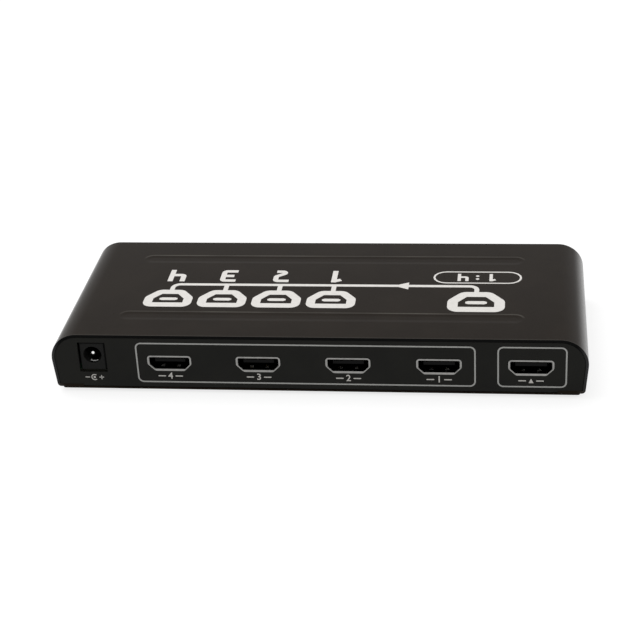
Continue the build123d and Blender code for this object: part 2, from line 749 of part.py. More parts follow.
def make_splitter_chip():
    """Square flat package with broken upper edges."""
    x, y = board_point(CHIP_PLACE_SHARE)
    half = CHIP_SIZE / 2
    low = board_top + CHIP_STANDOFF
    body = block(x - half, x + half, y - half, y + half, low, low + CHIP_THICKNESS)
    return chamfer(body.faces().sort_by(Axis.Z)[-1].edges(), length=CHIP_CHAMFER)


def make_splitter_chip_leads():
    """Four rows of leads round the chip."""
    x, y = board_point(CHIP_PLACE_SHARE)
    height = board_top + CHIP_STANDOFF + CHIP_THICKNESS / 2
    rows = []
    for quarter in range(4):
        rows += lead_row(x, y, CHIP_SIZE / 2, height, LEADS_PER_SIDE, LEAD_PITCH, quarter)
    return rows


def make_thermal_pad():
    """Soft pad between the chip and the heat sink."""
    x, y = board_point(CHIP_PLACE_SHARE)
    half = PAD_SIZE / 2
    low = board_top + CHIP_STANDOFF + CHIP_THICKNESS
    pad = block(x - half, x + half, y - half, y + half, low, low + PAD_THICKNESS)
    return fillet(pad.edges().filter_by(Axis.Z), radius=PAD_THICKNESS)


def make_heat_sink():
    """Extruded base with straight fins along Y."""
    x, y = board_point(CHIP_PLACE_SHARE)
    half = SINK_SIZE / 2
    low = board_top + CHIP_STANDOFF + CHIP_THICKNESS + PAD_THICKNESS
    sink = block(x - half, x + half, y - half, y + half, low, low + SINK_BASE)
    pitch = (SINK_SIZE - FIN_THICKNESS) / (FIN_COUNT - 1)
    root, top = low + SINK_BASE, low + SINK_BASE + SINK_HEIGHT
    for number in range(FIN_COUNT):
        x0 = x - half + number * pitch
        sink += block(x0, x0 + FIN_THICKNESS, y - half, y + half, root, top)
    return sink


def make_driver_chips():
    """One flat leadless chip in line with each socket."""
    chips = []
    half = DRIVER_SIZE / 2
    y0, y1 = driver_y - half, driver_y + half
    for x in PORTS.values():
        chip = block(x - half, x + half, y0, y1, board_top, board_top + DRIVER_THICKNESS)
        chips.append(chamfer(chip.faces().sort_by(Axis.Z)[-1].edges(), length=DRIVER_CHAMFER))
    return chips


def make_surge_protectors():
    """Two small arrays across the signal lines behind each socket."""
    y0 = contact_back + SURGE_GAP
    arrays = []
    for x in PORTS.values():
        for side in (-1, 1):
            centre = x + side * SURGE_SPACING / 2
            half = SURGE_LENGTH / 2
            top = board_top + SURGE_THICKNESS
            arrays.append(block(centre - half, centre + half, y0, y0 + SURGE_WIDTH, board_top, top))
    return arrays


def end_capped_chip(x, y, length, width, height, cap):
    """Small two-ended chip: its waist between the two end caps is a little lower and narrower."""
    step = cap / 4
    half, top = width / 2, board_top + height
    body = block(x - half, x + half, y - length / 2, y + length / 2, board_top, top)
    waist = length / 2 - cap
    for side in (-1, 1):
        x0, x1 = sorted((x + side * (half - step), x + side * (half + step)))
        body -= block(x0, x1, y - waist, y + waist, board_top - step, top + step)
    return body - block(x - width, x + width, y - waist, y + waist, top - step, top + step)


def passive(x, y):
    """One chip resistor or capacitor, its ends along Y."""
    return end_capped_chip(x, y, PASSIVE_LENGTH, PASSIVE_WIDTH, PASSIVE_THICKNESS, PASSIVE_CAP)


def make_chip_resistors():
    """A short row behind each driver chip."""
    y = driver_y + DRIVER_SIZE / 2 + PASSIVE_GAP + PASSIVE_LENGTH / 2
    middle = (RESISTORS_PER_PORT - 1) / 2
    places = [(number - middle) * RESISTOR_PITCH for number in range(RESISTORS_PER_PORT)]
    return [passive(x + place, y) for x in PORTS.values() for place in places]


def make_chip_capacitors():
    """One beside each side of every driver chip, and four round the splitter chip."""
    reach = DRIVER_SIZE / 2 + PASSIVE_GAP + PASSIVE_WIDTH / 2
    places = [(x + side * reach, driver_y) for x in PORTS.values() for side in (-1, 1)]
    x, y = board_point(CHIP_PLACE_SHARE)
    reach = SINK_SIZE / 2 + PASSIVE_GAP + PASSIVE_WIDTH / 2
    places += [(x + sx * reach, y + sy * CHIP_SIZE / 4) for sx in (-1, 1) for sy in (-1, 1)]
    return [passive(*place) for place in places]


def make_regulators():
    """Moulded bodies of the two voltage regulators."""
    bodies = []
    for share in REGULATOR_PLACE_SHARES:
        x, y = board_point(share)
        half_x, half_y = REGULATOR_LENGTH / 2, REGULATOR_WIDTH / 2
        low = board_top + CHIP_STANDOFF
        body = block(x - half_x, x + half_x, y - half_y, y + half_y, low, low + REGULATOR_THICKNESS)
        bodies.append(chamfer(body.faces().sort_by(Axis.Z)[-1].edges(), length=REGULATOR_CHAMFER))
    return bodies


def make_regulator_tabs():
    """Each regulator's wide tab on one side and three legs on the other, all lying on the board."""
    tabs = []
    for share in REGULATOR_PLACE_SHARES:
        x, y = board_point(share)
        edge = REGULATOR_WIDTH / 2
        top = board_top + REGULATOR_TAB_THICKNESS
        half = REGULATOR_TAB_WIDTH / 2
        tabs.append(block(x - half, x + half, y + edge, y + edge + REGULATOR_TAB_REACH, board_top, top))
        half = REGULATOR_LEG_WIDTH / 2
        for number in (-1, 0, 1):
            centre = x + number * REGULATOR_LEG_PITCH
            y0 = y - edge - REGULATOR_TAB_REACH
            tabs.append(block(centre - half, centre + half, y0, y - edge, board_top, top))
    return tabs


def make_power_inductor():
    """Square shielded inductor with broken corners and its round core in the top."""
    x, y = board_point(INDUCTOR_PLACE_SHARE)
    half = INDUCTOR_SIZE / 2
    top = board_top + INDUCTOR_HEIGHT
    body = block(x - half, x + half, y - half, y + half, board_top, top)
    body = chamfer(body.edges().filter_by(Axis.Z), length=INDUCTOR_CHAMFER)
    floor = top - INDUCTOR_CORE_DEPTH
    groove = post(x, y, floor, top + SEAM, INDUCTOR_CORE_RADIUS)
    groove -= post(x, y, floor - SEAM, top + 2 * SEAM, INDUCTOR_CORE_RADIUS - INDUCTOR_CORE_DEPTH)
    return body - groove


def make_capacitor_bases():
    """Square plastic feet of the electrolytic capacitors, two corners cut off."""
    bases = []
    for share in CAN_PLACE_SHARES:
        x, y = board_point(share)
        half = CAN_BASE_SIZE / 2
        base = block(x - half, x + half, y - half, y + half, board_top, board_top + CAN_BASE_HEIGHT)
        corners = base.edges().filter_by(Axis.Z).sort_by(Axis.X)[-2:]
        bases.append(chamfer(corners, length=CAN_BASE_CHAMFER))
    return bases


def make_capacitor_cans():
    """Aluminium cans with a rolled groove near the foot and a rounded top edge."""
    cans = []
    low = board_top + CAN_BASE_HEIGHT
    for share in CAN_PLACE_SHARES:
        x, y = board_point(share)
        can = post(x, y, low, low + CAN_HEIGHT, CAN_RADIUS)
        can = fillet(can.edges().filter_by(GeomType.CIRCLE).sort_by(Axis.Z)[-1], radius=CAN_EDGE_RADIUS)
        groove = Torus(CAN_RADIUS + CAN_GROOVE_DEPTH, 2 * CAN_GROOVE_DEPTH)
        cans.append(can - Pos(x, y, low + CAN_GROOVE_HEIGHT) * groove)
    return cans


def make_input_diode():
    """Moulded diode body on the board."""
    x, y = board_point(DIODE_PLACE_SHARE)
    half_x, half_y = DIODE_LENGTH / 2, DIODE_WIDTH / 2
    body = block(x - half_x, x + half_x, y - half_y, y + half_y, board_top, board_top + DIODE_HEIGHT)
    return chamfer(body.faces().sort_by(Axis.Z)[-1].edges(), length=DIODE_CHAMFER)


def make_input_fuse():
    """Resettable fuse, a larger end-capped chip."""
    x, y = board_point(FUSE_PLACE_SHARE)
    return end_capped_chip(x, y, FUSE_LENGTH, FUSE_WIDTH, FUSE_HEIGHT, FUSE_CAP)


def make_timing_crystal():
    """Oval can on a slightly wider rim."""
    x, y = board_point(CRYSTAL_PLACE_SHARE)
    rim = extrude(SlotOverall(CRYSTAL_LENGTH, CRYSTAL_WIDTH), amount=CRYSTAL_RIM)
    can = SlotOverall(CRYSTAL_LENGTH - 2 * CRYSTAL_RIM, CRYSTAL_WIDTH - 2 * CRYSTAL_RIM)
    can = extrude(can, amount=CRYSTAL_HEIGHT)
    can = fillet(can.faces().sort_by(Axis.Z)[-1].edges(), radius=CRYSTAL_RIM)
    return Pos(x, y, board_top) * (rim + can)


def make_memory_chips():
    """Small moulded packages that hold the display data."""
    chips = []
    for share in MEMORY_PLACE_SHARES:
        x, y = board_point(share)
        half_x, half_y = MEMORY_WIDTH / 2, MEMORY_LENGTH / 2
        low = board_top + CHIP_STANDOFF
        body = block(x - half_x, x + half_x, y - half_y, y + half_y, low, low + MEMORY_THICKNESS)
        chips.append(chamfer(body.faces().sort_by(Axis.Z)[-1].edges(), length=CHIP_CHAMFER))
    return chips


def make_memory_chip_leads():
    """Two rows of leads on each memory chip."""
    height = board_top + CHIP_STANDOFF + MEMORY_THICKNESS / 2
    rows = []
    for share in MEMORY_PLACE_SHARES:
        x, y = board_point(share)
        for quarter in (0, 2):
            rows += lead_row(x, y, MEMORY_WIDTH / 2, height, MEMORY_LEADS, MEMORY_LEAD_PITCH, quarter)
    return rows


def main():
    """Make and write every sub-part."""
    os.makedirs("parts", exist_ok=True)
    save("top_cover", make_top_cover())
    save("port_panel", make_port_panel())
    save("indicator_panel", make_indicator_panel())
    save("base_plate", make_base_plate())
    save("case_screws", *make_case_screws())
    save("rubber_feet", *make_rubber_feet())
    save("circuit_board", make_circuit_board())
    save("board_standoffs", *make_board_standoffs())
    save("board_screws", *make_board_screws())
    for name, x in PORTS.items():
        contacts = make_socket_contacts(x)
        save(name + "_shell", make_socket_shell(x))
        save(name + "_insulator", make_socket_insulator(x, contacts))
        save(name + "_contacts", *contacts)
    save("dc_jack_body", make_jack_body())
    save("dc_jack_pin", make_jack_pin())
    save("dc_jack_spring", make_jack_spring())
    save("splitter_chip", make_splitter_chip())
    save("splitter_chip_leads", *make_splitter_chip_leads())
    save("thermal_pad", make_thermal_pad())
    save("heat_sink", make_heat_sink())
    save("driver_chips", *make_driver_chips())
    save("surge_protectors", *make_surge_protectors())
    save("chip_resistors", *make_chip_resistors())
    save("chip_capacitors", *make_chip_capacitors())
    save("voltage_regulators", *make_regulators())
    save("regulator_tabs", *make_regulator_tabs())
    save("power_inductor", make_power_inductor())
    save("capacitor_bases", *make_capacitor_bases())
    save("capacitor_cans", *make_capacitor_cans())
    save("input_diode", make_input_diode())
    save("input_fuse", make_input_fuse())
    save("timing_crystal", make_timing_crystal())
    save("memory_chips", *make_memory_chips())
    save("memory_chip_leads", *make_memory_chip_leads())
    save("indicator_lamps", *[make_lamp(x) for x in lamp_places()])
    save("indicator_lamp_legs", *[leg for x in lamp_places() for leg in lamp_leg_blocks(x)])


main()
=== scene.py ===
"""Looks of a video splitter with one input and four outputs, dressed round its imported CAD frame.

Metres, +Z up. X runs along the case, the sockets face -Y, and the floor lies at Z = 0.
"""

import json
import logging
from dataclasses import dataclass
from enum import Enum
from functools import cache
from math import cos, pi, radians, sin, tan
from typing import Iterable, Optional, Sequence, Union

import bmesh
import bpy
from mathutils import Matrix, Vector


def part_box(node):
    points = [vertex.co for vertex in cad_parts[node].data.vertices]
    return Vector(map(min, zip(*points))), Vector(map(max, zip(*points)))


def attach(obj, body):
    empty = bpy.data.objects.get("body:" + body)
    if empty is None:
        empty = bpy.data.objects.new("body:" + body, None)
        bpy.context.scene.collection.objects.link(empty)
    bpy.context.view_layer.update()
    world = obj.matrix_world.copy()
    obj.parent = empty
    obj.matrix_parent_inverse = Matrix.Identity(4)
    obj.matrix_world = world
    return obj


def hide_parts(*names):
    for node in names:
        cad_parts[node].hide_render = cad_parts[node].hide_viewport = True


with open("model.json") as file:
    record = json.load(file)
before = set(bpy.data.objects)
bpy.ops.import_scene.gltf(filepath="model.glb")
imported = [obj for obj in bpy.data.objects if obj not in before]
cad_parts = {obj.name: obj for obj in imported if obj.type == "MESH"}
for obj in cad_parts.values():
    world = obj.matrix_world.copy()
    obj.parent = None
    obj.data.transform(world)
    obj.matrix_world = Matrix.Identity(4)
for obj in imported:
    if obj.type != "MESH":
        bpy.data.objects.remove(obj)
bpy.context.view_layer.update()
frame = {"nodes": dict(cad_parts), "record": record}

log = logging.getLogger("splitter")

MM = 0.001
Point2 = tuple[float, float]
Place = tuple[float, float, float]
Colour = tuple[float, float, float]
Limits = tuple[float, float, float, float]
Number = Union["Expr", float, int]
Object = bpy.types.Object
Socket = bpy.types.NodeSocket
Material = bpy.types.Material
PORT_NAMES = ("video_output_4", "video_output_3", "video_output_2", "video_output_1", "video_input")

# How many finer layers a noise carries
PLAIN_DETAIL = 0.0
SOFT_DETAIL = 1.0
FINE_DETAIL = 3.0

# Turns in degrees
FULL_TURN = 360
QUARTER_TURN = 90

# Above this height lies the roof, and from this X on lie the video sockets
ROOF_Z = 21.0 * MM
SOCKETS_X = -66.0 * MM

# Strokes of the bold digits, in shares of their height about the middle
DIGIT_STROKES: dict[int, list[list[Point2]]] = {
    1: [[(-0.26, 0.34), (0.06, 0.5)], [(0.08, 0.62), (0.08, -0.62)]],
    2: [[(-0.33, 0.5), (0.33, 0.5), (0.33, 0.02), (-0.33, -0.5), (0.36, -0.5)]],
    3: [[(-0.33, 0.5), (0.33, 0.5), (0.33, -0.5), (-0.33, -0.5)], [(-0.2, 0.0), (0.33, 0.0)]],
    4: [[(-0.31, 0.62), (-0.31, -0.06), (0.29, -0.06)], [(0.29, 0.62), (0.29, -0.62)]],
}


class Expr:
    """A node socket that carries a number and can stand in Python sums."""

    def __init__(self, tree: "Nodes", socket: Socket) -> None:
        """Wrap a socket of a tree."""
        self.tree = tree
        self.socket = socket

    def __add__(self, other: Number) -> "Expr":
        """Sum."""
        return self.tree.math("ADD", self, other)

    def __sub__(self, other: Number) -> "Expr":
        """Difference."""
        return self.tree.math("SUBTRACT", self, other)

    def __rsub__(self, other: Number) -> "Expr":
        """Difference from a plain number."""
        return self.tree.math("SUBTRACT", other, self)

    def __mul__(self, other: Number) -> "Expr":
        """Product."""
        return self.tree.math("MULTIPLY", self, other)

    def __truediv__(self, other: Number) -> "Expr":
        """Quotient."""
        return self.tree.math("DIVIDE", self, other)

    def __neg__(self) -> "Expr":
        """The same size with the other sign."""
        return self * -1

    def __abs__(self) -> "Expr":
        """Size without sign."""
        return self.tree.math("ABSOLUTE", self)

    __radd__ = __add__
    __rmul__ = __mul__

    def sign(self) -> "Expr":
        """-1, 0 or 1."""
        return self.tree.math("SIGN", self)

    def root(self) -> "Expr":
        """Square root."""
        return self.tree.math("SQRT", self)

    def least(self, other: Number) -> "Expr":
        """The smaller of two."""
        return self.tree.math("MINIMUM", self, other)

    def most(self, other: Number) -> "Expr":
        """The larger of two."""
        return self.tree.math("MAXIMUM", self, other)

    def above(self, other: Number) -> "Expr":
        """1 where it is the larger, 0 elsewhere."""
        return self.tree.math("GREATER_THAN", self, other)

    def wrapped(self, pitch: float) -> "Expr":
        """Its place within one pitch, from minus half a pitch to half a pitch."""
        return self.tree.math("WRAP", self, pitch / 2, -pitch / 2)

    def wave(self, pitch: float) -> "Expr":
        """A sine of the given pitch, from -1 to 1."""
        return self.tree.math("SINE", self * (2 * pi / pitch))

    def rise(self, start: float, blur: float) -> "Expr":
        """0 below the start, 1 from a blur above it."""
        return self.step(start, start + blur)

    def step(self, low: Number, high: Number) -> "Expr":
        """Smooth step.

        Args:
            low: Where the step starts at 0.
            high: Where it reaches 1.

        Returns:
            A number from 0 to 1.
        """
        inputs = {0: self, 1: low, 2: high}
        node = self.tree.node("ShaderNodeMapRange", inputs, interpolation_type="SMOOTHSTEP")
        return Expr(self.tree, node.outputs[0])


class Nodes:
    """A node tree while it is being built."""

    def __init__(self, tree: bpy.types.NodeTree) -> None:
        """Take the tree that the nodes go into."""
        self.tree = tree

    def node(self, kind: str, inputs: Optional[dict] = None, **settings: object) -> bpy.types.Node:
        """Add one node.

        Args:
            kind: The node's type.
            inputs: What goes into its sockets, by name or number.
            **settings: Its properties, set before its sockets.

        Returns:
            The new node.
        """
        node = self.tree.nodes.new(kind)
        for key, value in settings.items():
            setattr(node, key, value)
        for key, value in (inputs or {}).items():
            socket = node.inputs[key]
            value = value.socket if isinstance(value, Expr) else value
            if isinstance(value, Socket):
                self.tree.links.new(value, socket)
            elif socket.type == "RGBA":
                socket.default_value = (*value, 1.0)
            else:
                socket.default_value = value
        return node

    def math(self, operation: str, *values: Number) -> Expr:
        """Add one Math node and give its result."""
        node = self.node("ShaderNodeMath", dict(enumerate(values)), operation=operation)
        return Expr(self, node.outputs[0])

    def parts(self, vector: Socket) -> tuple[Expr, ...]:
        """The three numbers of a vector."""
        return tuple(Expr(self, part) for part in self.node("ShaderNodeSeparateXYZ", {0: vector}).outputs)

    def vector(self, *parts: Number) -> Socket:
        """Join three numbers into a vector."""
        return self.node("ShaderNodeCombineXYZ", dict(enumerate(parts))).outputs[0]


class Shader(Nodes):
    """The node tree of a material or of the world."""

    def __init__(self, name: str, owner: Optional[bpy.types.World] = None) -> None:
        """Start an empty tree.

        Args:
            name: The material's name.
            owner: The world whose tree is built in place of a material's.
        """
        self.material = owner or bpy.data.materials.get(name) or bpy.data.materials.new(name)
        self.material.use_nodes = True
        super().__init__(self.material.node_tree)
        self.tree.nodes.clear()

    def position(self) -> tuple[Expr, ...]:
        """The three Object coordinates."""
        return self.parts(self.node("ShaderNodeTexCoord").outputs["Object"])

    def noise(self, grain: float, detail: float = 2.0, stretch: Place = (1, 1, 1)) -> Expr:
        """Noise on Object coordinates.

        Args:
            grain: The size of one lump.
            detail: How many finer layers are added.
            stretch: How much longer the lumps are along each axis.

        Returns:
            A number about 0.5.
        """
        place = self.vector(*(part / (grain * longer) for part, longer in zip(self.position(), stretch)))
        inputs = {"Vector": place, "Scale": 1.0, "Detail": detail}
        return Expr(self, self.node("ShaderNodeTexNoise", inputs).outputs[0])

    def mix(self, share: Number, first: Union[Colour, Socket], second: Union[Colour, Socket]) -> Socket:
        """Mix two colours: a share of 0 gives the first, 1 the second."""
        return self.node("ShaderNodeMix", {0: share, 6: first, 7: second}, data_type="RGBA").outputs[2]

    def bump(self, height: Expr, depth: float) -> Socket:
        """The normal of a height from 0 to 1 that is so deep."""
        inputs = {"Strength": 1.0, "Distance": depth, "Height": height}
        return self.node("ShaderNodeBump", inputs).outputs[0]

    def finish(self, **inputs: object) -> Material:
        """Close the tree with one Principled shader.

        Args:
            **inputs: Its sockets, with underscores for blanks.

        Returns:
            The finished material.
        """
        named = {key.replace("_", " "): value for key, value in inputs.items()}
        shader = self.node("ShaderNodeBsdfPrincipled", named)
        self.node("ShaderNodeOutputMaterial", {0: shader.outputs[0]})
        return self.material


def spread(middle: float, *layers: tuple[Expr, float]) -> Expr:
    """A roughness that noise spreads about its middle.

    Args:
        middle: The middle.
        *layers: Each noise and how far it spreads the roughness.

    Returns:
        The roughness.
    """
    level = middle - sum(width for _, width in layers) / 2
    return sum(noise * width for noise, width in layers) + level


def grey(tone: float) -> Colour:
    """A neutral colour."""
    return (tone, tone, tone)


@dataclass(frozen=True)
class PaintFinish:
    """Baked paint on sheet metal: fine orange peel, faint clouding, and painted shade on the cut edges."""

    name: str
    light: Colour
    dark: Colour
    # The edge colour: on the cover it is near black, painted shade for the dark seam at the open ends.
    edge: Colour
    edge_shade_from: float
    edge_shade_to: float
    edge_shade_low: float = 3.0 * MM
    edge_shade_blur: float = 0.1 * MM
    edge_rough: float = 0.2
    roughness: float = 0.42
    specular: float = 0.2
    coat_roughness: float = 0.15
    grain: float = 0.35 * MM
    peel: float = 0.012 * MM
    cloud: float = 14 * MM
    cloud_share: Point2 = (0.35, 0.65)
    cloud_spread: float = 0.06
    fleck_spread: float = 0.08

    def build(self) -> Material:
        """Make the material."""
        shader = Shader(self.name)
        cloud = shader.noise(self.cloud, detail=FINE_DETAIL)
        fleck = shader.noise(self.grain, detail=SOFT_DETAIL)
        colour = shader.mix(cloud.step(*self.cloud_share), self.dark, self.light)
        colour = self.highlighted(shader, colour)
        _, y, z = shader.position()
        # Painted shade on the cut edges, with a rougher finish there.
        shaded_rim = abs(y).step(self.edge_shade_from, self.edge_shade_to) * z.rise(self.edge_shade_low, self.edge_shade_blur)
        rough = spread(self.roughness, (cloud, self.cloud_spread), (fleck, self.fleck_spread))
        return shader.finish(
            Base_Color=shader.mix(shaded_rim, colour, self.edge), Roughness=rough + shaded_rim * self.edge_rough,
            Normal=shader.bump(fleck, self.peel), Specular_IOR_Level=self.specular,
            Coat_Weight=self.glossed(shader), Coat_Roughness=self.coat_roughness,
        )

    def glossed(self, shader: Shader) -> Number:
        """How glossy the paint's skin is: plain paint has none."""
        return 0.0

    def highlighted(self, shader: Shader, colour: Socket) -> Socket:
        """The colour with painted highlights: plain paint has none."""
        return colour


@dataclass(frozen=True)
class CoverPaintFinish(PaintFinish):
    """The cover's paint: glossier round the bends, with painted highlights on the bands' far edges and open
    ends.
    """

    # Colour of the painted highlights on the bands' far edges and by the open ends.
    painted_highlight: Colour = (0.085, 0.077, 0.066)
    band_x: float = 67.4 * MM
    band_y: float = 22.4 * MM
    band_radius: float = 3.3 * MM
    highlight_line: float = 0.5 * MM
    end_highlight_from: float = 36.45 * MM
    end_highlight_to: float = 36.8 * MM
    floor: float = 3.6 * MM
    blur: float = 0.5 * MM
    patch: float = 9 * MM
    patch_stretch: Place = (3, 1, 1)
    patch_share: Point2 = (0.3, 0.7)
    least_highlight: float = 0.4
    end_highlight: float = 0.5
    bend_from: float = 88.3 * MM
    bend_to: float = 91.8 * MM
    bend_gloss: float = 0.5

    def glossed(self, shader: Shader) -> Number:
        """The paint flows smoother round the two bends."""
        x, _, _ = shader.position()
        return abs(x).step(self.bend_from, self.bend_to) * self.bend_gloss

    def highlighted(self, shader: Shader, colour: Socket) -> Socket:
        """Paint highlights on the bands' far edges and on a strip by the open ends.

        Args:
            shader: The paint's tree.
            colour: The colour of whole paint.

        Returns:
            The colour with the painted highlight lines on it.
        """
        x, y, z = shader.position()
        beyond = (abs(x) - self.band_x).most(0.0)
        across = abs(y) - self.band_y
        distance = (beyond * beyond + across * across).root()
        # Painted highlight: a patchy line on each band's far edge, and a strip by the open ends.
        line = 1 - abs(distance - self.band_radius).step(self.highlight_line / 2, self.highlight_line)
        far_side = (across * y.sign()).step(0, self.band_radius)
        line = line * z.rise(ROOF_Z, self.blur) * far_side
        end = abs(y).step(self.end_highlight_from, self.end_highlight_to) * z.rise(self.floor, self.blur)
        patchy = shader.noise(self.patch, stretch=self.patch_stretch).step(*self.patch_share)
        patchy = patchy * (1 - self.least_highlight) + self.least_highlight
        return shader.mix((line * patchy + end * self.end_highlight).least(1.0), colour, self.painted_highlight)


@dataclass(frozen=True)
class PlateFinish:
    """Plated or bare metal: rolled grain along X and faint stains."""

    name: str
    colour: Colour
    stain: Colour
    roughness: float
    grain: float = 0.12 * MM
    rolled: Place = (12, 1, 1)
    depth: float = 0.002 * MM
    stain_size: float = 1.5 * MM
    stain_share: Point2 = (0.45, 0.75)
    scratch_spread: float = 0.16
    stain_spread: float = 0.1

    def build(self) -> Material:
        """Make the material."""
        shader = Shader(self.name)
        scratch = shader.noise(self.grain, stretch=self.rolled)
        stain = shader.noise(self.stain_size)
        colour = shader.mix(stain.step(*self.stain_share), self.colour, self.stain)
        colour, metal = self.shaded(shader, colour)
        rough = spread(self.roughness, (scratch, self.scratch_spread), (stain, self.stain_spread))
        normal = shader.bump(scratch, self.depth)
        return shader.finish(Base_Color=colour, Metallic=metal, Roughness=rough, Normal=normal)

    def shaded(self, shader: Shader, colour: Socket) -> tuple[Socket, Number]:
        """The colour with painted light and shade, and the share of bare metal: plain metal has none."""
        return colour, 1.0


@dataclass(frozen=True)
class SocketPlateFinish(PlateFinish):
    """Nickel plate with painted shade in sockets and on the jack's pin and leaf, and painted highlights."""

    # Painted shade in the sockets and on the jack, and painted highlights on crests, the pin's tip and the
    # leaf.
    painted_shade: Colour = grey(0.012)
    crest_highlight: Colour = (0.45, 0.45, 0.43)
    painted_glint: Colour = (0.9, 0.9, 0.88)
    port_x: float = 73.2 * MM
    port_pitch: float = 31.0 * MM
    port_z: float = 11.73 * MM
    jack_blur: float = 1.0 * MM
    mouth: float = -37.0 * MM
    mouth_blur: float = 0.6 * MM
    inner_x: float = 7.15 * MM
    inner_z: float = 2.42 * MM
    dimple_x: float = 2.7 * MM
    dimple_half: float = 0.7 * MM
    dimple_z: float = -2.1 * MM
    dimple_rise: float = 1.0 * MM
    jack_x: float = -77.9 * MM
    jack_z: float = 14.4 * MM
    pin_radius: float = 1.2 * MM
    glint_radius: float = 0.4 * MM
    glint_rise: float = 0.3 * MM
    leaf_drop: float = 1.6 * MM
    leaf_blur: float = 0.2 * MM
    leaf_y: float = -34.95 * MM
    leaf_half: float = 0.25 * MM
    leaf_bow: float = 320.0
    highlight_matte: float = 0.9
    slack: float = 0.15 * MM

    def within(self, value: Expr, reach: float) -> Expr:
        """1 where a distance lies inside a reach, 0 beyond its slack."""
        return 1 - value.rise(reach, self.slack)

    def outside(self, across: Expr, up: Expr, radius: float) -> Expr:
        """0 inside a disc, 1 beyond its slack."""
        return (across * across + up * up).step(radius ** 2, (radius + self.slack) ** 2)

    def in_sockets(self, x: Expr, y: Expr, z: Expr) -> tuple[Expr, Expr]:
        """Find the inside of the sockets.

        Args:
            x: The place along the case.
            y: The place across it.
            z: The height.

        Returns:
            The share of a socket's inside, and that of the crests of its lower dimples.
        """
        aside = abs((x - self.port_x).wrapped(self.port_pitch))
        height = z - self.port_z
        inner = self.within(aside, self.inner_x) * self.within(abs(height), self.inner_z)
        inner = inner * y.rise(self.mouth, self.mouth_blur) * x.rise(SOCKETS_X, self.jack_blur)
        dimple = self.within(abs(aside - self.dimple_x), self.dimple_half)
        dimple = dimple * height.step(self.dimple_z - self.slack, self.dimple_z)
        return inner, dimple * (-height).step(0, self.dimple_rise)

    def shaded(self, shader: Shader, colour: Socket) -> tuple[Socket, Number]:
        """Paint shade into the sockets and onto the jack's pin and leaf, with painted highlights on them.

        Args:
            shader: The plate's tree.
            colour: The colour of clean plate.

        Returns:
            The colour, and the share of bare metal, which is low on the leaf's painted highlight band.
        """
        x, y, z = shader.position()
        inner, dimple = self.in_sockets(x, y, z)
        # Painted shade inside the sockets, with painted highlights on the lower dimples' crests.
        colour = shader.mix(inner, colour, shader.mix(dimple, self.painted_shade, self.crest_highlight))
        across = x - self.jack_x
        up = z - self.jack_z
        # Painted shade on the jack's pin, with a painted glint near its tip.
        pin = 1 - self.outside(across, up, self.pin_radius)
        off_glint = self.outside(across, up - self.glint_rise, self.glint_radius)
        colour = shader.mix(pin, colour, shader.mix(off_glint, self.painted_glint, self.painted_shade))
        # Painted shade on the jack's leaf, then a painted highlight band across it that is less metallic.
        leaf = 1 - x.step(SOCKETS_X - self.jack_blur, SOCKETS_X)
        leaf = leaf * (-up).rise(self.leaf_drop, self.leaf_blur)
        colour = shader.mix(leaf, colour, self.painted_shade)
        bowed = y - across * across * self.leaf_bow - self.leaf_y
        band = leaf * self.within(abs(bowed), self.leaf_half)
        return shader.mix(band, colour, self.painted_glint), 1 - band * self.highlight_matte


@dataclass(frozen=True)
class MouldFinish:
    """Moulded plastic, epoxy, rubber or ceramic: spark texture, flecks and a little bloom."""

    name: str
    colour: Colour
    bloom: Colour
    roughness: float
    grain: float = 0.15 * MM
    depth: float = 0.01 * MM
    specular: float = 0.4
    cloud: float = 4 * MM
    bloom_share: Point2 = (0.4, 0.8)
    spark_spread: float = 0.12

    def build(self) -> Material:
        """Make the material."""
        shader = Shader(self.name)
        spark = shader.noise(self.grain, detail=FINE_DETAIL)
        return shader.finish(
            Base_Color=self.toned(shader, spark), Specular_IOR_Level=self.specular,
            Roughness=spread(self.roughness, (spark, self.spark_spread)),
            Normal=shader.bump(spark, self.depth),
        )

    def toned(self, shader: Shader, spark: Expr) -> Socket:
        """The colour with its clouds of bloom."""
        cloud = shader.noise(self.cloud)
        return shader.mix(cloud.step(*self.bloom_share) * spark, self.colour, self.bloom)


@dataclass(frozen=True)
class SocketMouldFinish(MouldFinish):
    """Black moulding, with painted shadow where it lies inside the video sockets, none at the jack."""

    socket_blur: float = 1.0 * MM
    shadow: Colour = grey(0.0045)

    def toned(self, shader: Shader, spark: Expr) -> Socket:
        """The colour with its flecks and the painted shadow in the sockets."""
        colour = shader.mix(spark.step(*self.bloom_share), self.colour, self.bloom)
        x, _, _ = shader.position()
        # Painted shadow where the moulding lies inside the video sockets.
        return shader.mix(x.rise(SOCKETS_X, self.socket_blur), colour, self.shadow)


@dataclass(frozen=True)
class InkFinish:
    """Screen-printed ink: uneven cover and a fine mesh print, duller below the roof than on it."""

    name: str
    colour: Colour
    thin: Colour
    panel: Colour
    blur: float = 0.5 * MM
    roughness: float = 0.55
    specular: float = 0.3
    mesh: float = 0.18 * MM
    mesh_depth: float = 0.002 * MM
    mesh_spread: float = 0.1
    cover: float = 1.6 * MM
    cover_share: Point2 = (0.3, 0.8)
    cover_spread: float = 0.4

    def build(self) -> Material:
        """Make the material."""
        shader = Shader(self.name)
        x, y, z = shader.position()
        weave = x.wave(self.mesh) * (y + z).wave(self.mesh) * 0.5 + 0.5
        cover = shader.noise(self.cover)
        full = shader.mix(z.rise(ROOF_Z, self.blur), self.panel, self.colour)
        thinned = cover.step(*self.cover_share) * self.cover_spread + weave * self.mesh_spread
        return shader.finish(
            Base_Color=shader.mix(thinned, full, self.thin), Roughness=self.roughness,
            Normal=shader.bump(weave, self.mesh_depth), Specular_IOR_Level=self.specular,
        )


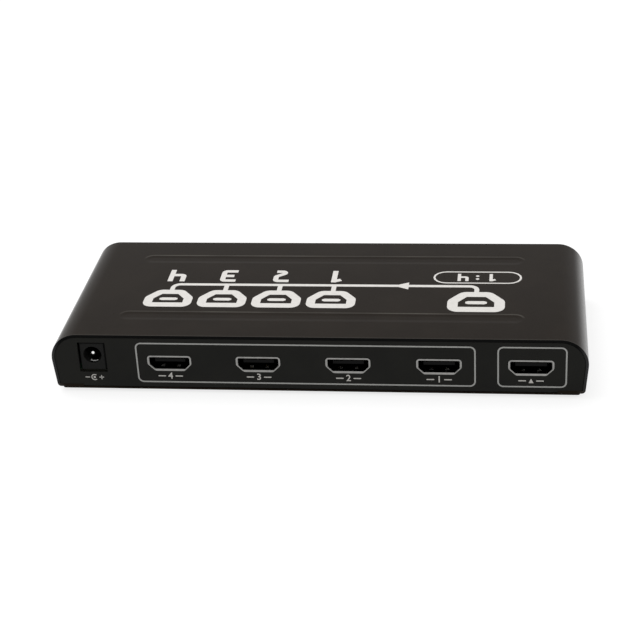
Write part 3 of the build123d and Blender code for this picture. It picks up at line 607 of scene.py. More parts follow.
@dataclass(frozen=True)
class SpeckledFinish:
    """Speckled ceramic or polymer of a small board component."""

    name: str
    body: Colour
    speck: Colour
    roughness: float = 0.4
    speck_size: float = 0.12 * MM
    speck_share: Point2 = (0.5, 0.7)
    speck_depth: float = 0.004 * MM
    patch: float = 0.9 * MM
    patch_spread: float = 0.2

    def build(self) -> Material:
        """Make the material."""
        shader = Shader(self.name)
        speck = shader.noise(self.speck_size)
        patch = shader.noise(self.patch, detail=SOFT_DETAIL)
        colour = shader.mix(speck.step(*self.speck_share), self.body, self.speck)
        rough = spread(self.roughness, (patch, self.patch_spread))
        return shader.finish(Base_Color=colour, Roughness=rough, Normal=shader.bump(speck, self.speck_depth))


@dataclass(frozen=True)
class BoardFinish:
    """Solder mask over copper tracks, with bare laminate at the board's edge."""

    name: str
    mask: Colour = (0.004, 0.055, 0.02)
    track: Colour = (0.012, 0.12, 0.045)
    laminate: Colour = (0.03, 0.03, 0.018)
    pitch: float = 2.4 * MM
    width_share: float = 0.35
    bend: float = 16 * MM
    bend_reach: float = 9 * MM
    pour: float = 22 * MM
    pour_share: Point2 = (0.48, 0.5)
    pour_tone: float = 0.5
    tracks: Point2 = (-30 * MM, -10 * MM)
    copper: float = 0.03 * MM
    roughness: float = 0.3
    edge_rough: float = 0.4
    low: float = 6.8 * MM
    high: float = 8.2 * MM
    blur: float = 0.1 * MM

    def build(self) -> Material:
        """Make the material."""
        shader = Shader(self.name)
        x, y, z = shader.position()
        bend = shader.noise(self.bend, detail=PLAIN_DETAIL) * self.bend_reach
        lines = abs((x + bend).wave(self.pitch)).step(1 - self.width_share, 1.0)
        pour = shader.noise(self.pour, detail=SOFT_DETAIL).step(*self.pour_share)
        copper = (lines * y.step(*self.tracks) + pour * self.pour_tone).least(1.0)
        edge = z.rise(self.low, self.blur) * (1 - z.step(self.high - self.blur, self.high))
        colour = shader.mix(edge, shader.mix(copper, self.mask, self.track), self.laminate)
        rough = edge * self.edge_rough + self.roughness
        return shader.finish(Base_Color=colour, Roughness=rough, Normal=shader.bump(copper, self.copper))


@dataclass(frozen=True)
class LampFinish:
    """Milky clear resin of an indicator lamp."""

    name: str
    colour: Colour = (0.78, 0.78, 0.74)
    haze: Colour = (0.6, 0.6, 0.58)
    haze_size: float = 0.8 * MM
    haze_share: Point2 = (0.4, 0.7)
    haze_spread: float = 0.1
    roughness: float = 0.12
    gloss: float = 0.5

    def build(self) -> Material:
        """Make the material."""
        shader = Shader(self.name)
        haze = shader.noise(self.haze_size)
        colour = shader.mix(haze.step(*self.haze_share), self.colour, self.haze)
        rough = haze * self.haze_spread + self.roughness
        return shader.finish(Base_Color=colour, Roughness=rough, Coat_Weight=self.gloss)


class Slot(Enum):
    """The record's material slots, each with the finish that dresses it."""

    # The cover's near-black edge colour is painted shade for the dark seam at its open ends.
    CASE_PAINT = CoverPaintFinish(
        "case_paint", (0.0175, 0.0125, 0.0085), (0.0148, 0.0103, 0.0068), grey(0.003),
        edge_shade_from=36.93 * MM, edge_shade_to=36.99 * MM, roughness=0.3, specular=0.04,
    )
    PANEL_PAINT = PaintFinish(
        "panel_paint", (0.0165, 0.0165, 0.0145), (0.0135, 0.0135, 0.012), (0.0135, 0.0135, 0.012),
        edge_shade_from=38 * MM, edge_shade_to=39 * MM, roughness=0.5, specular=0.08,
    )
    WHITE_PRINT = InkFinish("white_print", (0.97, 0.94, 0.9), (0.8, 0.77, 0.73), (0.76, 0.74, 0.7))
    GREY_PRINT = InkFinish("grey_print", (0.55, 0.55, 0.53), (0.42, 0.42, 0.4), (0.55, 0.55, 0.53))
    NICKEL_PLATE = SocketPlateFinish("nickel_plate", (0.265, 0.262, 0.252), (0.215, 0.212, 0.204), 0.36)
    BLACK_MOULDING = SocketMouldFinish(
        "black_moulding", (0.0125, 0.0125, 0.012), (0.016, 0.016, 0.015), 0.5, specular=0.08
    )
    GOLD_PLATE = PlateFinish("gold_plate", (0.75, 0.52, 0.2), (0.55, 0.36, 0.13), 0.25)
    TINNED_METAL = PlateFinish("tinned_metal", (0.62, 0.62, 0.6), (0.45, 0.45, 0.44), 0.4)
    SCREW_STEEL = PlateFinish("screw_steel", grey(0.06), grey(0.03), 0.42)
    ZINC_STEEL = PlateFinish("zinc_steel", (0.58, 0.58, 0.56), (0.42, 0.42, 0.4), 0.4)
    FOOT_RUBBER = MouldFinish("foot_rubber", grey(0.012), (0.03, 0.029, 0.028), 0.8, 0.25 * MM, 0.02 * MM)
    BOARD_LAMINATE = BoardFinish("board_laminate")
    CHIP_MOULDING = MouldFinish("chip_moulding", (0.012, 0.012, 0.013), (0.03, 0.03, 0.031), 0.6, 0.08 * MM)
    SINK_ALUMINIUM = PlateFinish("sink_aluminium", (0.68, 0.69, 0.7), (0.5, 0.51, 0.52), 0.35)
    THERMAL_SILICONE = MouldFinish("thermal_silicone", (0.42, 0.43, 0.47), (0.5, 0.51, 0.55), 0.8)
    CAN_ALUMINIUM = PlateFinish("can_aluminium", grey(0.7), grey(0.55), 0.28)
    FERRITE = MouldFinish("ferrite", (0.03, 0.03, 0.033), (0.06, 0.06, 0.063), 0.6)
    CERAMIC = SpeckledFinish("ceramic", (0.42, 0.32, 0.2), (0.5, 0.4, 0.27))
    RESISTOR_CERAMIC = SpeckledFinish("resistor_ceramic", (0.02, 0.02, 0.022), (0.05, 0.05, 0.052))
    FUSE_MOULDING = SpeckledFinish("fuse_moulding", (0.03, 0.12, 0.06), (0.05, 0.16, 0.09))
    LAMP_RESIN = LampFinish("lamp_resin")

    @cache
    def material(self) -> Material:
        """The slot's material, made on first use in place of the frame's plain one."""
        return self.value.build()


def finish_piece(mesh_object: Object, replaced: Sequence[str] = ()) -> None:
    """Hand a finished piece to the frame.

    Args:
        mesh_object: The piece, in place.
        replaced: The CAD nodes that it stands for.
    """
    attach(mesh_object, "root")
    if replaced:
        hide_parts(*replaced)
    log.info("%s: %d faces", mesh_object.name, len(mesh_object.data.polygons))


def new_object(name: str, data: bpy.types.ID) -> Object:
    """Link a new object to the scene."""
    made = bpy.data.objects.new(name, data)
    bpy.context.scene.collection.objects.link(made)
    return made


def as_mesh(live: Object) -> Object:
    """Put a plain mesh of what an object shows in the object's place.

    Args:
        live: A text, curve or mesh object with its modifiers. It is removed.

    Returns:
        A mesh object with its name.
    """
    name = live.name
    graph = bpy.context.evaluated_depsgraph_get()
    graph.update()
    mesh = bpy.data.meshes.new_from_object(live.evaluated_get(graph))
    bpy.data.objects.remove(live)
    mesh.name = name
    return new_object(name, mesh)


def polyline(name: str, points: Iterable[Sequence[float]], closed: bool) -> Object:
    """A curve object with one straight-sided spline.

    Args:
        name: The object's name.
        points: Its points.
        closed: Whether the last point joins the first.

    Returns:
        The curve object.
    """
    points = list(points)
    curve = bpy.data.curves.new(name, "CURVE")
    curve.dimensions = "3D"
    spline = curve.splines.new("POLY")
    spline.points.add(len(points) - 1)
    for target, point in zip(spline.points, points):
        target.co = (*point, 1.0)
    spline.use_cyclic_u = closed
    return new_object(name, curve)


def section_curve(name: str, outline: Sequence[Point2]) -> Object:
    """The curve of a section that is swept along a line.

    Args:
        name: The curve's name.
        outline: The section's points, across the line and above it.

    Returns:
        The curve object. A sweep lays its Y downwards, so the heights are turned over.
    """
    pairs = zip(outline, [*outline[1:], outline[0]])
    area = sum(x0 * z1 - x1 * z0 for (x0, z0), (x1, z1) in pairs)
    points = [(x, -z, 0) for x, z in outline]
    return polyline(name, points[::-1] if area > 0 else points, True)


def lofted(name: str, rings: Sequence[Sequence[Place]]) -> Object:
    """A closed solid through rings of points, with flat ends.

    Args:
        name: The object's name.
        rings: Rings of equally many points, anticlockwise from above, the lowest first.

    Returns:
        The mesh object.
    """
    form = bmesh.new()
    made = [[form.verts.new(point) for point in ring] for ring in rings]
    for low, high in zip(made, made[1:]):
        for index in range(len(low)):
            after = (index + 1) % len(low)
            form.faces.new((low[index], low[after], high[after], high[index]))
    form.faces.new(made[0][::-1])
    form.faces.new(made[-1])
    mesh = bpy.data.meshes.new(name)
    form.to_mesh(mesh)
    form.free()
    return new_object(name, mesh)


def prism(name: str, outline: Sequence[Point2], low: float, high: float) -> Object:
    """A closed prism of an anticlockwise outline, between two heights."""
    return lofted(name, [[(u, v, height) for u, v in outline] for height in (low, high)])


def joined(name: str, pieces: Sequence[Object]) -> Object:
    """Join mesh objects of one material into one new object, and remove them.

    Args:
        name: The new object's name.
        pieces: The mesh objects.

    Returns:
        The joined object at the origin.
    """
    whole = bmesh.new()
    for piece in pieces:
        whole.from_mesh(piece.data)
    mesh = bpy.data.meshes.new(name)
    whole.to_mesh(mesh)
    whole.free()
    mesh.materials.append(pieces[0].data.materials[0])
    for piece in pieces:
        bpy.data.objects.remove(piece)
    return new_object(name, mesh)


def rectangle(half_width: float, half_height: float) -> list[Point2]:
    """The outline of a rectangle about its middle."""
    return [(side * half_width, end * half_height) for side, end in ((-1, -1), (1, -1), (1, 1), (-1, 1))]


def rounded_bar(length: float, height: float, steps: int = 8) -> list[Point2]:
    """The outline of a bar with half-round ends.

    Args:
        length: Its length over the ends.
        height: Its height.
        steps: Into how many edges each end is cut.

    Returns:
        Points about its middle.
    """
    radius = height / 2
    reach = length / 2 - radius
    turns = [pi * (step / steps - 0.5) for step in range(steps + 1)]
    right = [(reach + radius * cos(turn), radius * sin(turn)) for turn in turns]
    return right + [(-u, -v) for u, v in right]


def disc(radius: float, steps: int = 32) -> list[Point2]:
    """The outline of a disc about its middle."""
    turns = [2 * pi * step / steps for step in range(steps)]
    return [(radius * cos(turn), radius * sin(turn)) for turn in turns]


def shifted(outline: Sequence[Point2], u: float, v: float) -> list[Point2]:
    """An outline moved across the drawing."""
    return [(x + u, y + v) for x, y in outline]


def stations(low: float, high: float, fine: Sequence[Point2], coarse: float, small: float) -> list[float]:
    """Places from low to high, close together inside the fine spans.

    Args:
        low: The first place.
        high: The last place.
        fine: Spans with small steps, in order.
        coarse: The step elsewhere.
        small: The step inside the spans.

    Returns:
        The places in order.
    """
    places = [low]
    bounds = [edge for span in fine for edge in span] + [high]
    for index, bound in enumerate(bounds):
        start = places[-1]
        count = max(1, round((bound - start) / (small if index % 2 else coarse)))
        places += [start + (bound - start) * number / count for number in range(1, count + 1)]
    return places


class Geometry(Nodes):
    """One Geometry Nodes tree with named inputs, run once on an object."""

    def __init__(self, name: str) -> None:
        """Start a tree that takes and gives geometry.

        Args:
            name: The tree's name.
        """
        super().__init__(bpy.data.node_groups.new(name, "GeometryNodeTree"))
        for way in ("INPUT", "OUTPUT"):
            self.tree.interface.new_socket("Geometry", in_out=way, socket_type="NodeSocketGeometry")
        self.entry = self.tree.nodes.new("NodeGroupInput")
        self.given: Socket = self.entry.outputs["Geometry"]
        self.values: dict[str, object] = {}
        self.helpers: list[Object] = []

    def input(self, name: str, kind: str, value: object) -> Socket:
        """Add a named input.

        Args:
            name: The input's name.
            kind: The type of its socket.
            value: What it holds in this run.

        Returns:
            The socket that gives the input inside the tree.
        """
        self.tree.interface.new_socket(name, in_out="INPUT", socket_type=kind)
        self.values[name] = value
        return self.entry.outputs[name]

    def length(self, name: str, value: float) -> Expr:
        """Add a named input for a length."""
        return Expr(self, self.input(name, "NodeSocketFloat", value))

    def shape(self, name: str, helper: Object) -> Socket:
        """Add a named input for a helper object.

        Args:
            name: The input's name.
            helper: The object, which is removed once the tree has run.

        Returns:
            The object's geometry.
        """
        self.helpers.append(helper)
        inputs = {"Object": self.input(name, "NodeSocketObject", helper)}
        return self.node("GeometryNodeObjectInfo", inputs).outputs["Geometry"]

    def sweep(self, line: Socket, outline: Sequence[Point2]) -> Socket:
        """Sweep a closed section along a line that stays level.

        Args:
            line: The line.
            outline: The section's points, across the line and above it.

        Returns:
            The closed, swept geometry.
        """
        profile = self.shape("Section", section_curve(self.tree.name + "_section", outline))
        level = self.node("GeometryNodeSetCurveNormal", {"Curve": line}, mode="Z_UP").outputs[0]
        inputs = {"Curve": level, "Profile Curve": profile, "Fill Caps": True}
        return self.node("GeometryNodeCurveToMesh", inputs).outputs[0]

    def run(self, base: Object, last: Socket, slot: Slot, smooth: float) -> Object:
        """Close the tree, run it on an object and keep the result as a plain mesh.

        Args:
            base: The object whose own geometry goes in. It is removed.
            last: The geometry that the tree has made.
            slot: The slot whose material is set.
            smooth: Edges sharper than this many degrees stay sharp.

        Returns:
            A mesh object at the origin, with the base's name.
        """
        solid = self.node("GeometryNodeRealizeInstances", {0: last}).outputs[0]
        material = self.input("Finish", "NodeSocketMaterial", slot.material())
        painted = self.node("GeometryNodeSetMaterial", {"Geometry": solid, "Material": material})
        self.node("NodeGroupOutput", {0: painted.outputs[0]})
        modifier = base.modifiers.new(self.tree.name, "NODES")
        modifier.node_group = self.tree
        for item in self.tree.interface.items_tree:
            if item.in_out == "INPUT" and item.name in self.values:
                modifier[item.identifier] = self.values[item.name]
        made = as_mesh(base)
        made.data.set_sharp_from_angle(angle=radians(smooth))
        for helper in self.helpers:
            bpy.data.objects.remove(helper)
        return made


class Face(Enum):
    """A surface that takes a print, with the directions in which the drawing's u and v run on it."""

    TOP = (Vector((-1, 0, 0)), Vector((0, -1, 0)))
    PORTS = (Vector((1, 0, 0)), Vector((0, 0, 1)))
    LAMPS = (Vector((-1, 0, 0)), Vector((0, 0, 1)))

    @property
    def turn(self) -> Matrix:
        """The rotation from a drawing's X and Y to the surface."""
        across, up = self.value
        return Matrix((across, up, across.cross(up))).transposed().to_4x4()


@dataclass(frozen=True)
class Spot:
    """Where a drawing's zero lies, on which surface and in which ink."""

    face: Face
    origin: Vector
    ink: Slot = Slot.WHITE_PRINT

    def moved(self, u: float, v: float) -> "Spot":
        """The spot at a place in the drawing."""
        across, up = self.face.value
        return Spot(self.face, self.origin + across * u + up * v, self.ink)


@dataclass
class Press:
    """Prints flat shapes on the case as thin closed ink films."""

    film: float = 0.03 * MM
    bite: float = 0.01 * MM
    layer: float = 0.004 * MM
    digit_share: float = 0.69
    boldness: float = 0.018
    resolution: int = 6
    corner_steps: int = 8
    bar_steps: int = 3
    smooth: float = 40.0

    def at(self, spot: Spot, layer: int = 0) -> Matrix:
        """The matrix that lays a drawing on a spot, so many layers above it."""
        lift = Matrix.Translation((0, 0, layer * self.layer))
        return Matrix.Translation(spot.origin) @ spot.face.turn @ lift

    def numeral(self, name: str, text: str, height: float, spot: Spot) -> Object:
        """Print a plain numeral.

        Args:
            name: The piece's name.
            text: The digits.
            height: Their height.
            spot: Where their middle lies.

        Returns:
            The printed mesh.
        """
        font = bpy.data.curves.new(name, "FONT")
        font.body = text
        font.size = height / self.digit_share
        font.align_x = "CENTER"
        font.align_y = "CENTER"
        font.resolution_u = self.resolution
        font.offset = height * self.boldness
        font.extrude = self.film / 2
        made = as_mesh(new_object(name, font))
        made.data.transform(self.at(spot) @ Matrix.Translation((0, 0, self.film / 2 - self.bite)))
        made.data.materials.clear()
        made.data.materials.append(spot.ink.material())
        return made

    def shape(self, name: str, outline: Sequence[Point2], spot: Spot, layer: int = 0) -> Object:
        """Print one filled outline.

        Args:
            name: The piece's name.
            outline: Its points, anticlockwise.
            spot: Where the drawing's zero lies.
            layer: How many films it lies above.

        Returns:
            The printed mesh.
        """
        made = prism(name, outline, -self.bite, self.film - self.bite)
        made.data.transform(self.at(spot, layer))
        made.data.materials.append(spot.ink.material())
        return made

    def bar(self, name: str, length: float, height: float, spot: Spot) -> Object:
        """Print a bar with half-round ends, its middle on the spot."""
        return self.shape(name, rounded_bar(length, height, self.bar_steps), spot)

    def line(
        self, name: str, points: Sequence[Point2], width: float, spot: Spot,
        corner: float = 0.0, closed: bool = False, layer: int = 0,
    ) -> Object:
        """Print a line of even width.

        Args:
            name: The piece's name.
            points: The line's corners in the drawing.
            width: The line's width.
            spot: Where the drawing's zero lies.
            corner: The radius of its corners.
            closed: Whether it closes.
            layer: How many films it lies above.

        Returns:
            The printed mesh.
        """
        rise = self.film / 2
        base = polyline(name, [(u, v, rise - self.bite) for u, v in points], closed)
        tree = Geometry(name + "_sweep")
        path = tree.given
        if corner:
            radius = tree.length("Corner Radius", corner)
            inputs = {"Curve": path, "Radius": radius, "Count": self.corner_steps, "Limit Radius": True}
            path = tree.node("GeometryNodeFilletCurve", inputs, mode="POLY").outputs[0]
        made = tree.run(base, tree.sweep(path, rectangle(width / 2, rise)), spot.ink, self.smooth)
        made.data.transform(self.at(spot, layer))
        return made


@dataclass
class Cover:
    """The bent cover: flat top with two pressed bands, round corners, leaning sides, lips below."""

    width: float = 184.8 * MM
    sheet: float = 1.0 * MM
    corner_radius: float = 9.5 * MM
    curl_radius: float = 1.3 * MM
    least_curl: float = 0.15 * MM
    lean: float = radians(5.2)
    lip: float = 8.0 * MM
    band_width: float = 6.6 * MM
    band_depth: float = 0.1 * MM
    band_slope: float = 2.4 * MM
    band_edge_margin: float = 14.75 * MM
    band_end_margin: float = 21.7 * MM
    edge_break: float = 0.12 * MM
    break_segments: int = 2
    break_angle: float = 60.0
    smooth: float = 180.0
    coarse: float = 2.0 * MM
    fine: float = 0.25 * MM
    corner_steps: int = 20
    curl_steps: int = 6

    def __post_init__(self) -> None:
        """Read the cover's place from the frame."""
        low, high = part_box("top_cover")
        self.half_depth = (high.y - low.y) / 2
        self.low, self.high = low.z, high.z
        self.arc_x = self.width / 2 - self.corner_radius
        self.arc_z = self.high - self.corner_radius
        self.band_x = self.width / 2 - self.band_end_margin - self.band_width / 2
        self.band_y = self.half_depth - self.band_edge_margin

    def side_x(self, z: float, inset: float) -> float:
        """X of the leaning wall at a height, moved inwards by an inset."""
        across = self.corner_radius - inset + (z - self.arc_z) * sin(self.lean)
        return self.arc_x + across / cos(self.lean)

    def skin(self, inset: float) -> list[Point2]:
        """One skin of the section, from the left lip's end over the top to the right lip's end.

        Args:
            inset: How far the skin lies inside the outer one.

        Returns:
            Points in X and Z.
        """
        floor = self.low + inset
        curl = max(self.curl_radius - inset, self.least_curl)
        lip_end = self.side_x(self.low, 0) - self.curl_radius - self.lip
        curl_x = self.side_x(floor, inset) - curl * tan((pi / 2 - self.lean) / 2)
        half = [(lip_end, floor)]
        for step in range(self.curl_steps + 1):
            angle = -pi / 2 + (pi / 2 - self.lean) * step / self.curl_steps
            half.append((curl_x + curl * cos(angle), floor + curl + curl * sin(angle)))
        radius = self.corner_radius - inset
        for step in range(self.corner_steps + 1):
            angle = -self.lean + (pi / 2 + self.lean) * step / self.corner_steps
            half.append((self.arc_x + radius * cos(angle), self.arc_z + radius * sin(angle)))
        reach = self.band_x + self.band_width / 2 + self.fine
        spans = [(-reach, -self.band_x), (self.band_x, reach)]
        roof = stations(-self.arc_x, self.arc_x, spans, self.coarse, self.fine)[1:-1]
        left = [(-x, z) for x, z in half]
        return left + [(x, self.high - inset) for x in roof] + half[::-1]

    def pressed(self, tree: Geometry, skin: Socket) -> Socket:
        """Press the two bands into the roof.

        Args:
            tree: The tree that is being built.
            skin: The swept sheet.

        Returns:
            The pressed geometry.
        """
        x, y, z = tree.parts(tree.node("GeometryNodeInputPosition").outputs[0])
        half_length = tree.length("Band Half Length", self.band_x)
        centre = tree.length("Band Place", self.band_y)
        half_width = tree.length("Band Half Width", self.band_width / 2)
        slope = tree.length("Band Slope", self.band_slope)
        depth = tree.length("Band Depth", self.band_depth)
        roof = tree.length("Roof From", self.high - self.sheet - self.fine)
        beyond = (abs(x) - half_length).most(0.0)
        across = abs(y) - centre
        distance = (beyond * beyond + across * across).root()
        mask = 1 - distance.step(half_width - slope, half_width)
        offset = tree.vector(0.0, 0.0, -(mask * z.above(roof) * depth))
        return tree.node("GeometryNodeSetPosition", {"Geometry": skin, "Offset": offset}).outputs[0]

    def softened(self, cover: Object) -> Object:
        """Round the sheet's cut edges.

        Args:
            cover: The swept cover. It is removed.

        Returns:
            The cover with round edges.
        """
        bevel = cover.modifiers.new("edges", "BEVEL")
        bevel.width = self.edge_break
        bevel.segments = self.break_segments
        bevel.limit_method = "ANGLE"
        bevel.angle_limit = radians(self.break_angle)
        bevel.harden_normals = True
        cover.data.shade_smooth()
        return as_mesh(cover)

    def build(self) -> None:
        """Sweep the section along the case, press the bands and round the cut edges."""
        low, high = self.band_y - self.band_width / 2, self.band_y + self.band_width / 2
        spans = [(-high - self.fine, -low + self.fine), (low - self.fine, high + self.fine)]
        places = stations(-self.half_depth, self.half_depth, spans, self.coarse, self.fine)
        base = polyline("cover_shell", [(0, y, 0) for y in places], False)
        tree = Geometry("cover_sweep")
        swept = tree.sweep(tree.given, self.skin(0) + self.skin(self.sheet)[::-1])
        cover = tree.run(base, self.pressed(tree, swept), Slot.CASE_PAINT, self.smooth)
        finish_piece(self.softened(cover), ["top_cover"])


@dataclass
class PanelPrint:
    """Frames, plain numerals and generic marks on the port panel and the lamp panel."""

    press: Press
    outputs_frame: Limits = (-62.15 * MM, 54.36 * MM, 4.35 * MM, 19.45 * MM)
    input_frame: Limits = (62.13 * MM, 84.96 * MM, 4.4 * MM, 19.5 * MM)
    line_width: float = 0.52 * MM
    corner: float = 1.8 * MM
    numeral_height: float = 2.4 * MM
    numeral_z: float = 6.7 * MM
    arrow_size: float = 1.7 * MM
    dash_length: float = 2.7 * MM
    dash_width: float = 0.42 * MM
    dash_reach: float = 3.0 * MM
    sign_drop: float = 0.9 * MM
    sign_radius: float = 1.05 * MM
    sign_open: int = 50
    sign_turn: int = 20
    sign_dot: float = 0.42 * MM
    sign_stroke: float = 0.32 * MM
    sign_bar: float = 1.7 * MM
    sign_reach: float = 2.5 * MM
    lamp_count: int = 6
    lamp_pitch: float = 14.0 * MM
    lamp_frame: Limits = (-42.5 * MM, 42.5 * MM, 5.4 * MM, 15.8 * MM)
    lamp_mark_drop: float = 4.1 * MM
    lamp_ring: float = 0.8 * MM
    ring_steps: int = 24

    def frame_line(self, name: str, limits: Limits, face: Face, face_y: float) -> None:
        """Print one rounded frame.

        Args:
            name: The piece's name.
            limits: Low and high place along the panel, low Z and high Z.
            face: The panel's face.
            face_y: Its Y.
        """
        u0, u1, z0, z1 = limits
        corners = [(u0, z0), (u1, z0), (u1, z1), (u0, z1)]
        spot = Spot(face, Vector((0, face_y, 0)), Slot.GREY_PRINT)
        made = self.press.line(name, corners, self.line_width, spot, self.corner, True)
        finish_piece(made)

    def arrow(self, name: str, spot: Spot) -> Object:
        """Print a small triangle that points up."""
        half = self.arrow_size / 2
        return self.press.shape(name, [(-half, -half), (half, -half), (0, half)], spot)

    def port_mark(self, name: str, spot: Spot) -> list[Object]:
        """Print a port's numeral, or the input's arrow head, between two dashes.

        Args:
            name: The port's name, which ends in its number.
            spot: Where the mark's middle lies.

        Returns:
            The printed meshes.
        """
        marks = []
        for side in (-1, 1):
            place = spot.moved(side * self.dash_reach, 0)
            marks.append(self.press.bar(f"{name}_dash{side}", self.dash_length, self.dash_width, place))
        if name == "video_input":
            return marks + [self.arrow(name + "_mark", spot)]
        return marks + [self.press.numeral(name + "_numeral", name[-1], self.numeral_height, spot)]

    def polarity(self, name: str, spot: Spot) -> Object:
        """Print the plain sign of a centre-positive plug: a dot in an open ring, between minus and plus.

        Args:
            name: The piece's name.
            spot: Where its middle lies.

        Returns:
            The printed mesh.
        """
        press = self.press
        last = FULL_TURN - self.sign_open
        turns = [radians(angle) for angle in range(self.sign_open, last + 1, self.sign_turn)]
        arc = [(self.sign_radius * cos(turn), self.sign_radius * sin(turn)) for turn in turns]
        minus, plus = (spot.moved(side * self.sign_reach, 0) for side in (-1, 1))
        bar = rounded_bar(self.sign_bar, self.sign_stroke, press.bar_steps)
        return joined(name, [
            press.line(name + "_ring", arc, self.sign_stroke, spot),
            press.shape(name + "_dot", disc(self.sign_dot), spot),
            press.shape(name + "_minus", bar, minus),
            press.shape(name + "_plus", bar, plus),
            press.shape(name + "_upright", [(v, -u) for u, v in bar], plus),
        ])

    def lamp_marks(self) -> None:
        """Print a frame round the lamps and a mark under each: ring, arrow head, the outputs' numerals."""
        face_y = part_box("indicator_panel")[1].y
        self.frame_line("lamps_frame_print", self.lamp_frame, Face.LAMPS, face_y)
        low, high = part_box("indicator_lamps")
        mark_z = (low.z + high.z) / 2 - self.lamp_mark_drop
        first_x = -(self.lamp_count - 1) / 2 * self.lamp_pitch
        spots = [
            Spot(Face.LAMPS, Vector((first_x + index * self.lamp_pitch, face_y, mark_z)))
            for index in range(self.lamp_count)
        ]
        ring = disc(self.lamp_ring, self.ring_steps)
        marks = [
            self.press.line("lamp_ring", ring, self.dash_width, spots[0], closed=True),
            self.arrow("lamp_arrow", spots[1]),
        ]
        for number, spot in enumerate(spots[2:], 1):
            marks.append(self.press.numeral(f"lamp_numeral_{number}", str(number), self.numeral_height, spot))
        finish_piece(joined("lamp_marks_print", marks))

    def build(self) -> None:
        """Print both panels."""
        face_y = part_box("port_panel")[0].y
        self.frame_line("outputs_frame_print", self.outputs_frame, Face.PORTS, face_y)
        self.frame_line("input_frame_print", self.input_frame, Face.PORTS, face_y)
        marks = []
        for name in PORT_NAMES:
            low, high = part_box(name + "_shell")
            middle = Vector(((low.x + high.x) / 2, face_y, self.numeral_z))
            marks += self.port_mark(name, Spot(Face.PORTS, middle))
        finish_piece(joined("port_marks_print", marks))
        low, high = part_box("dc_jack_body")
        middle = Vector(((low.x + high.x) / 2, face_y, self.numeral_z - self.sign_drop))
        finish_piece(self.polarity("jack_sign_print", Spot(Face.PORTS, middle)))
        self.lamp_marks()


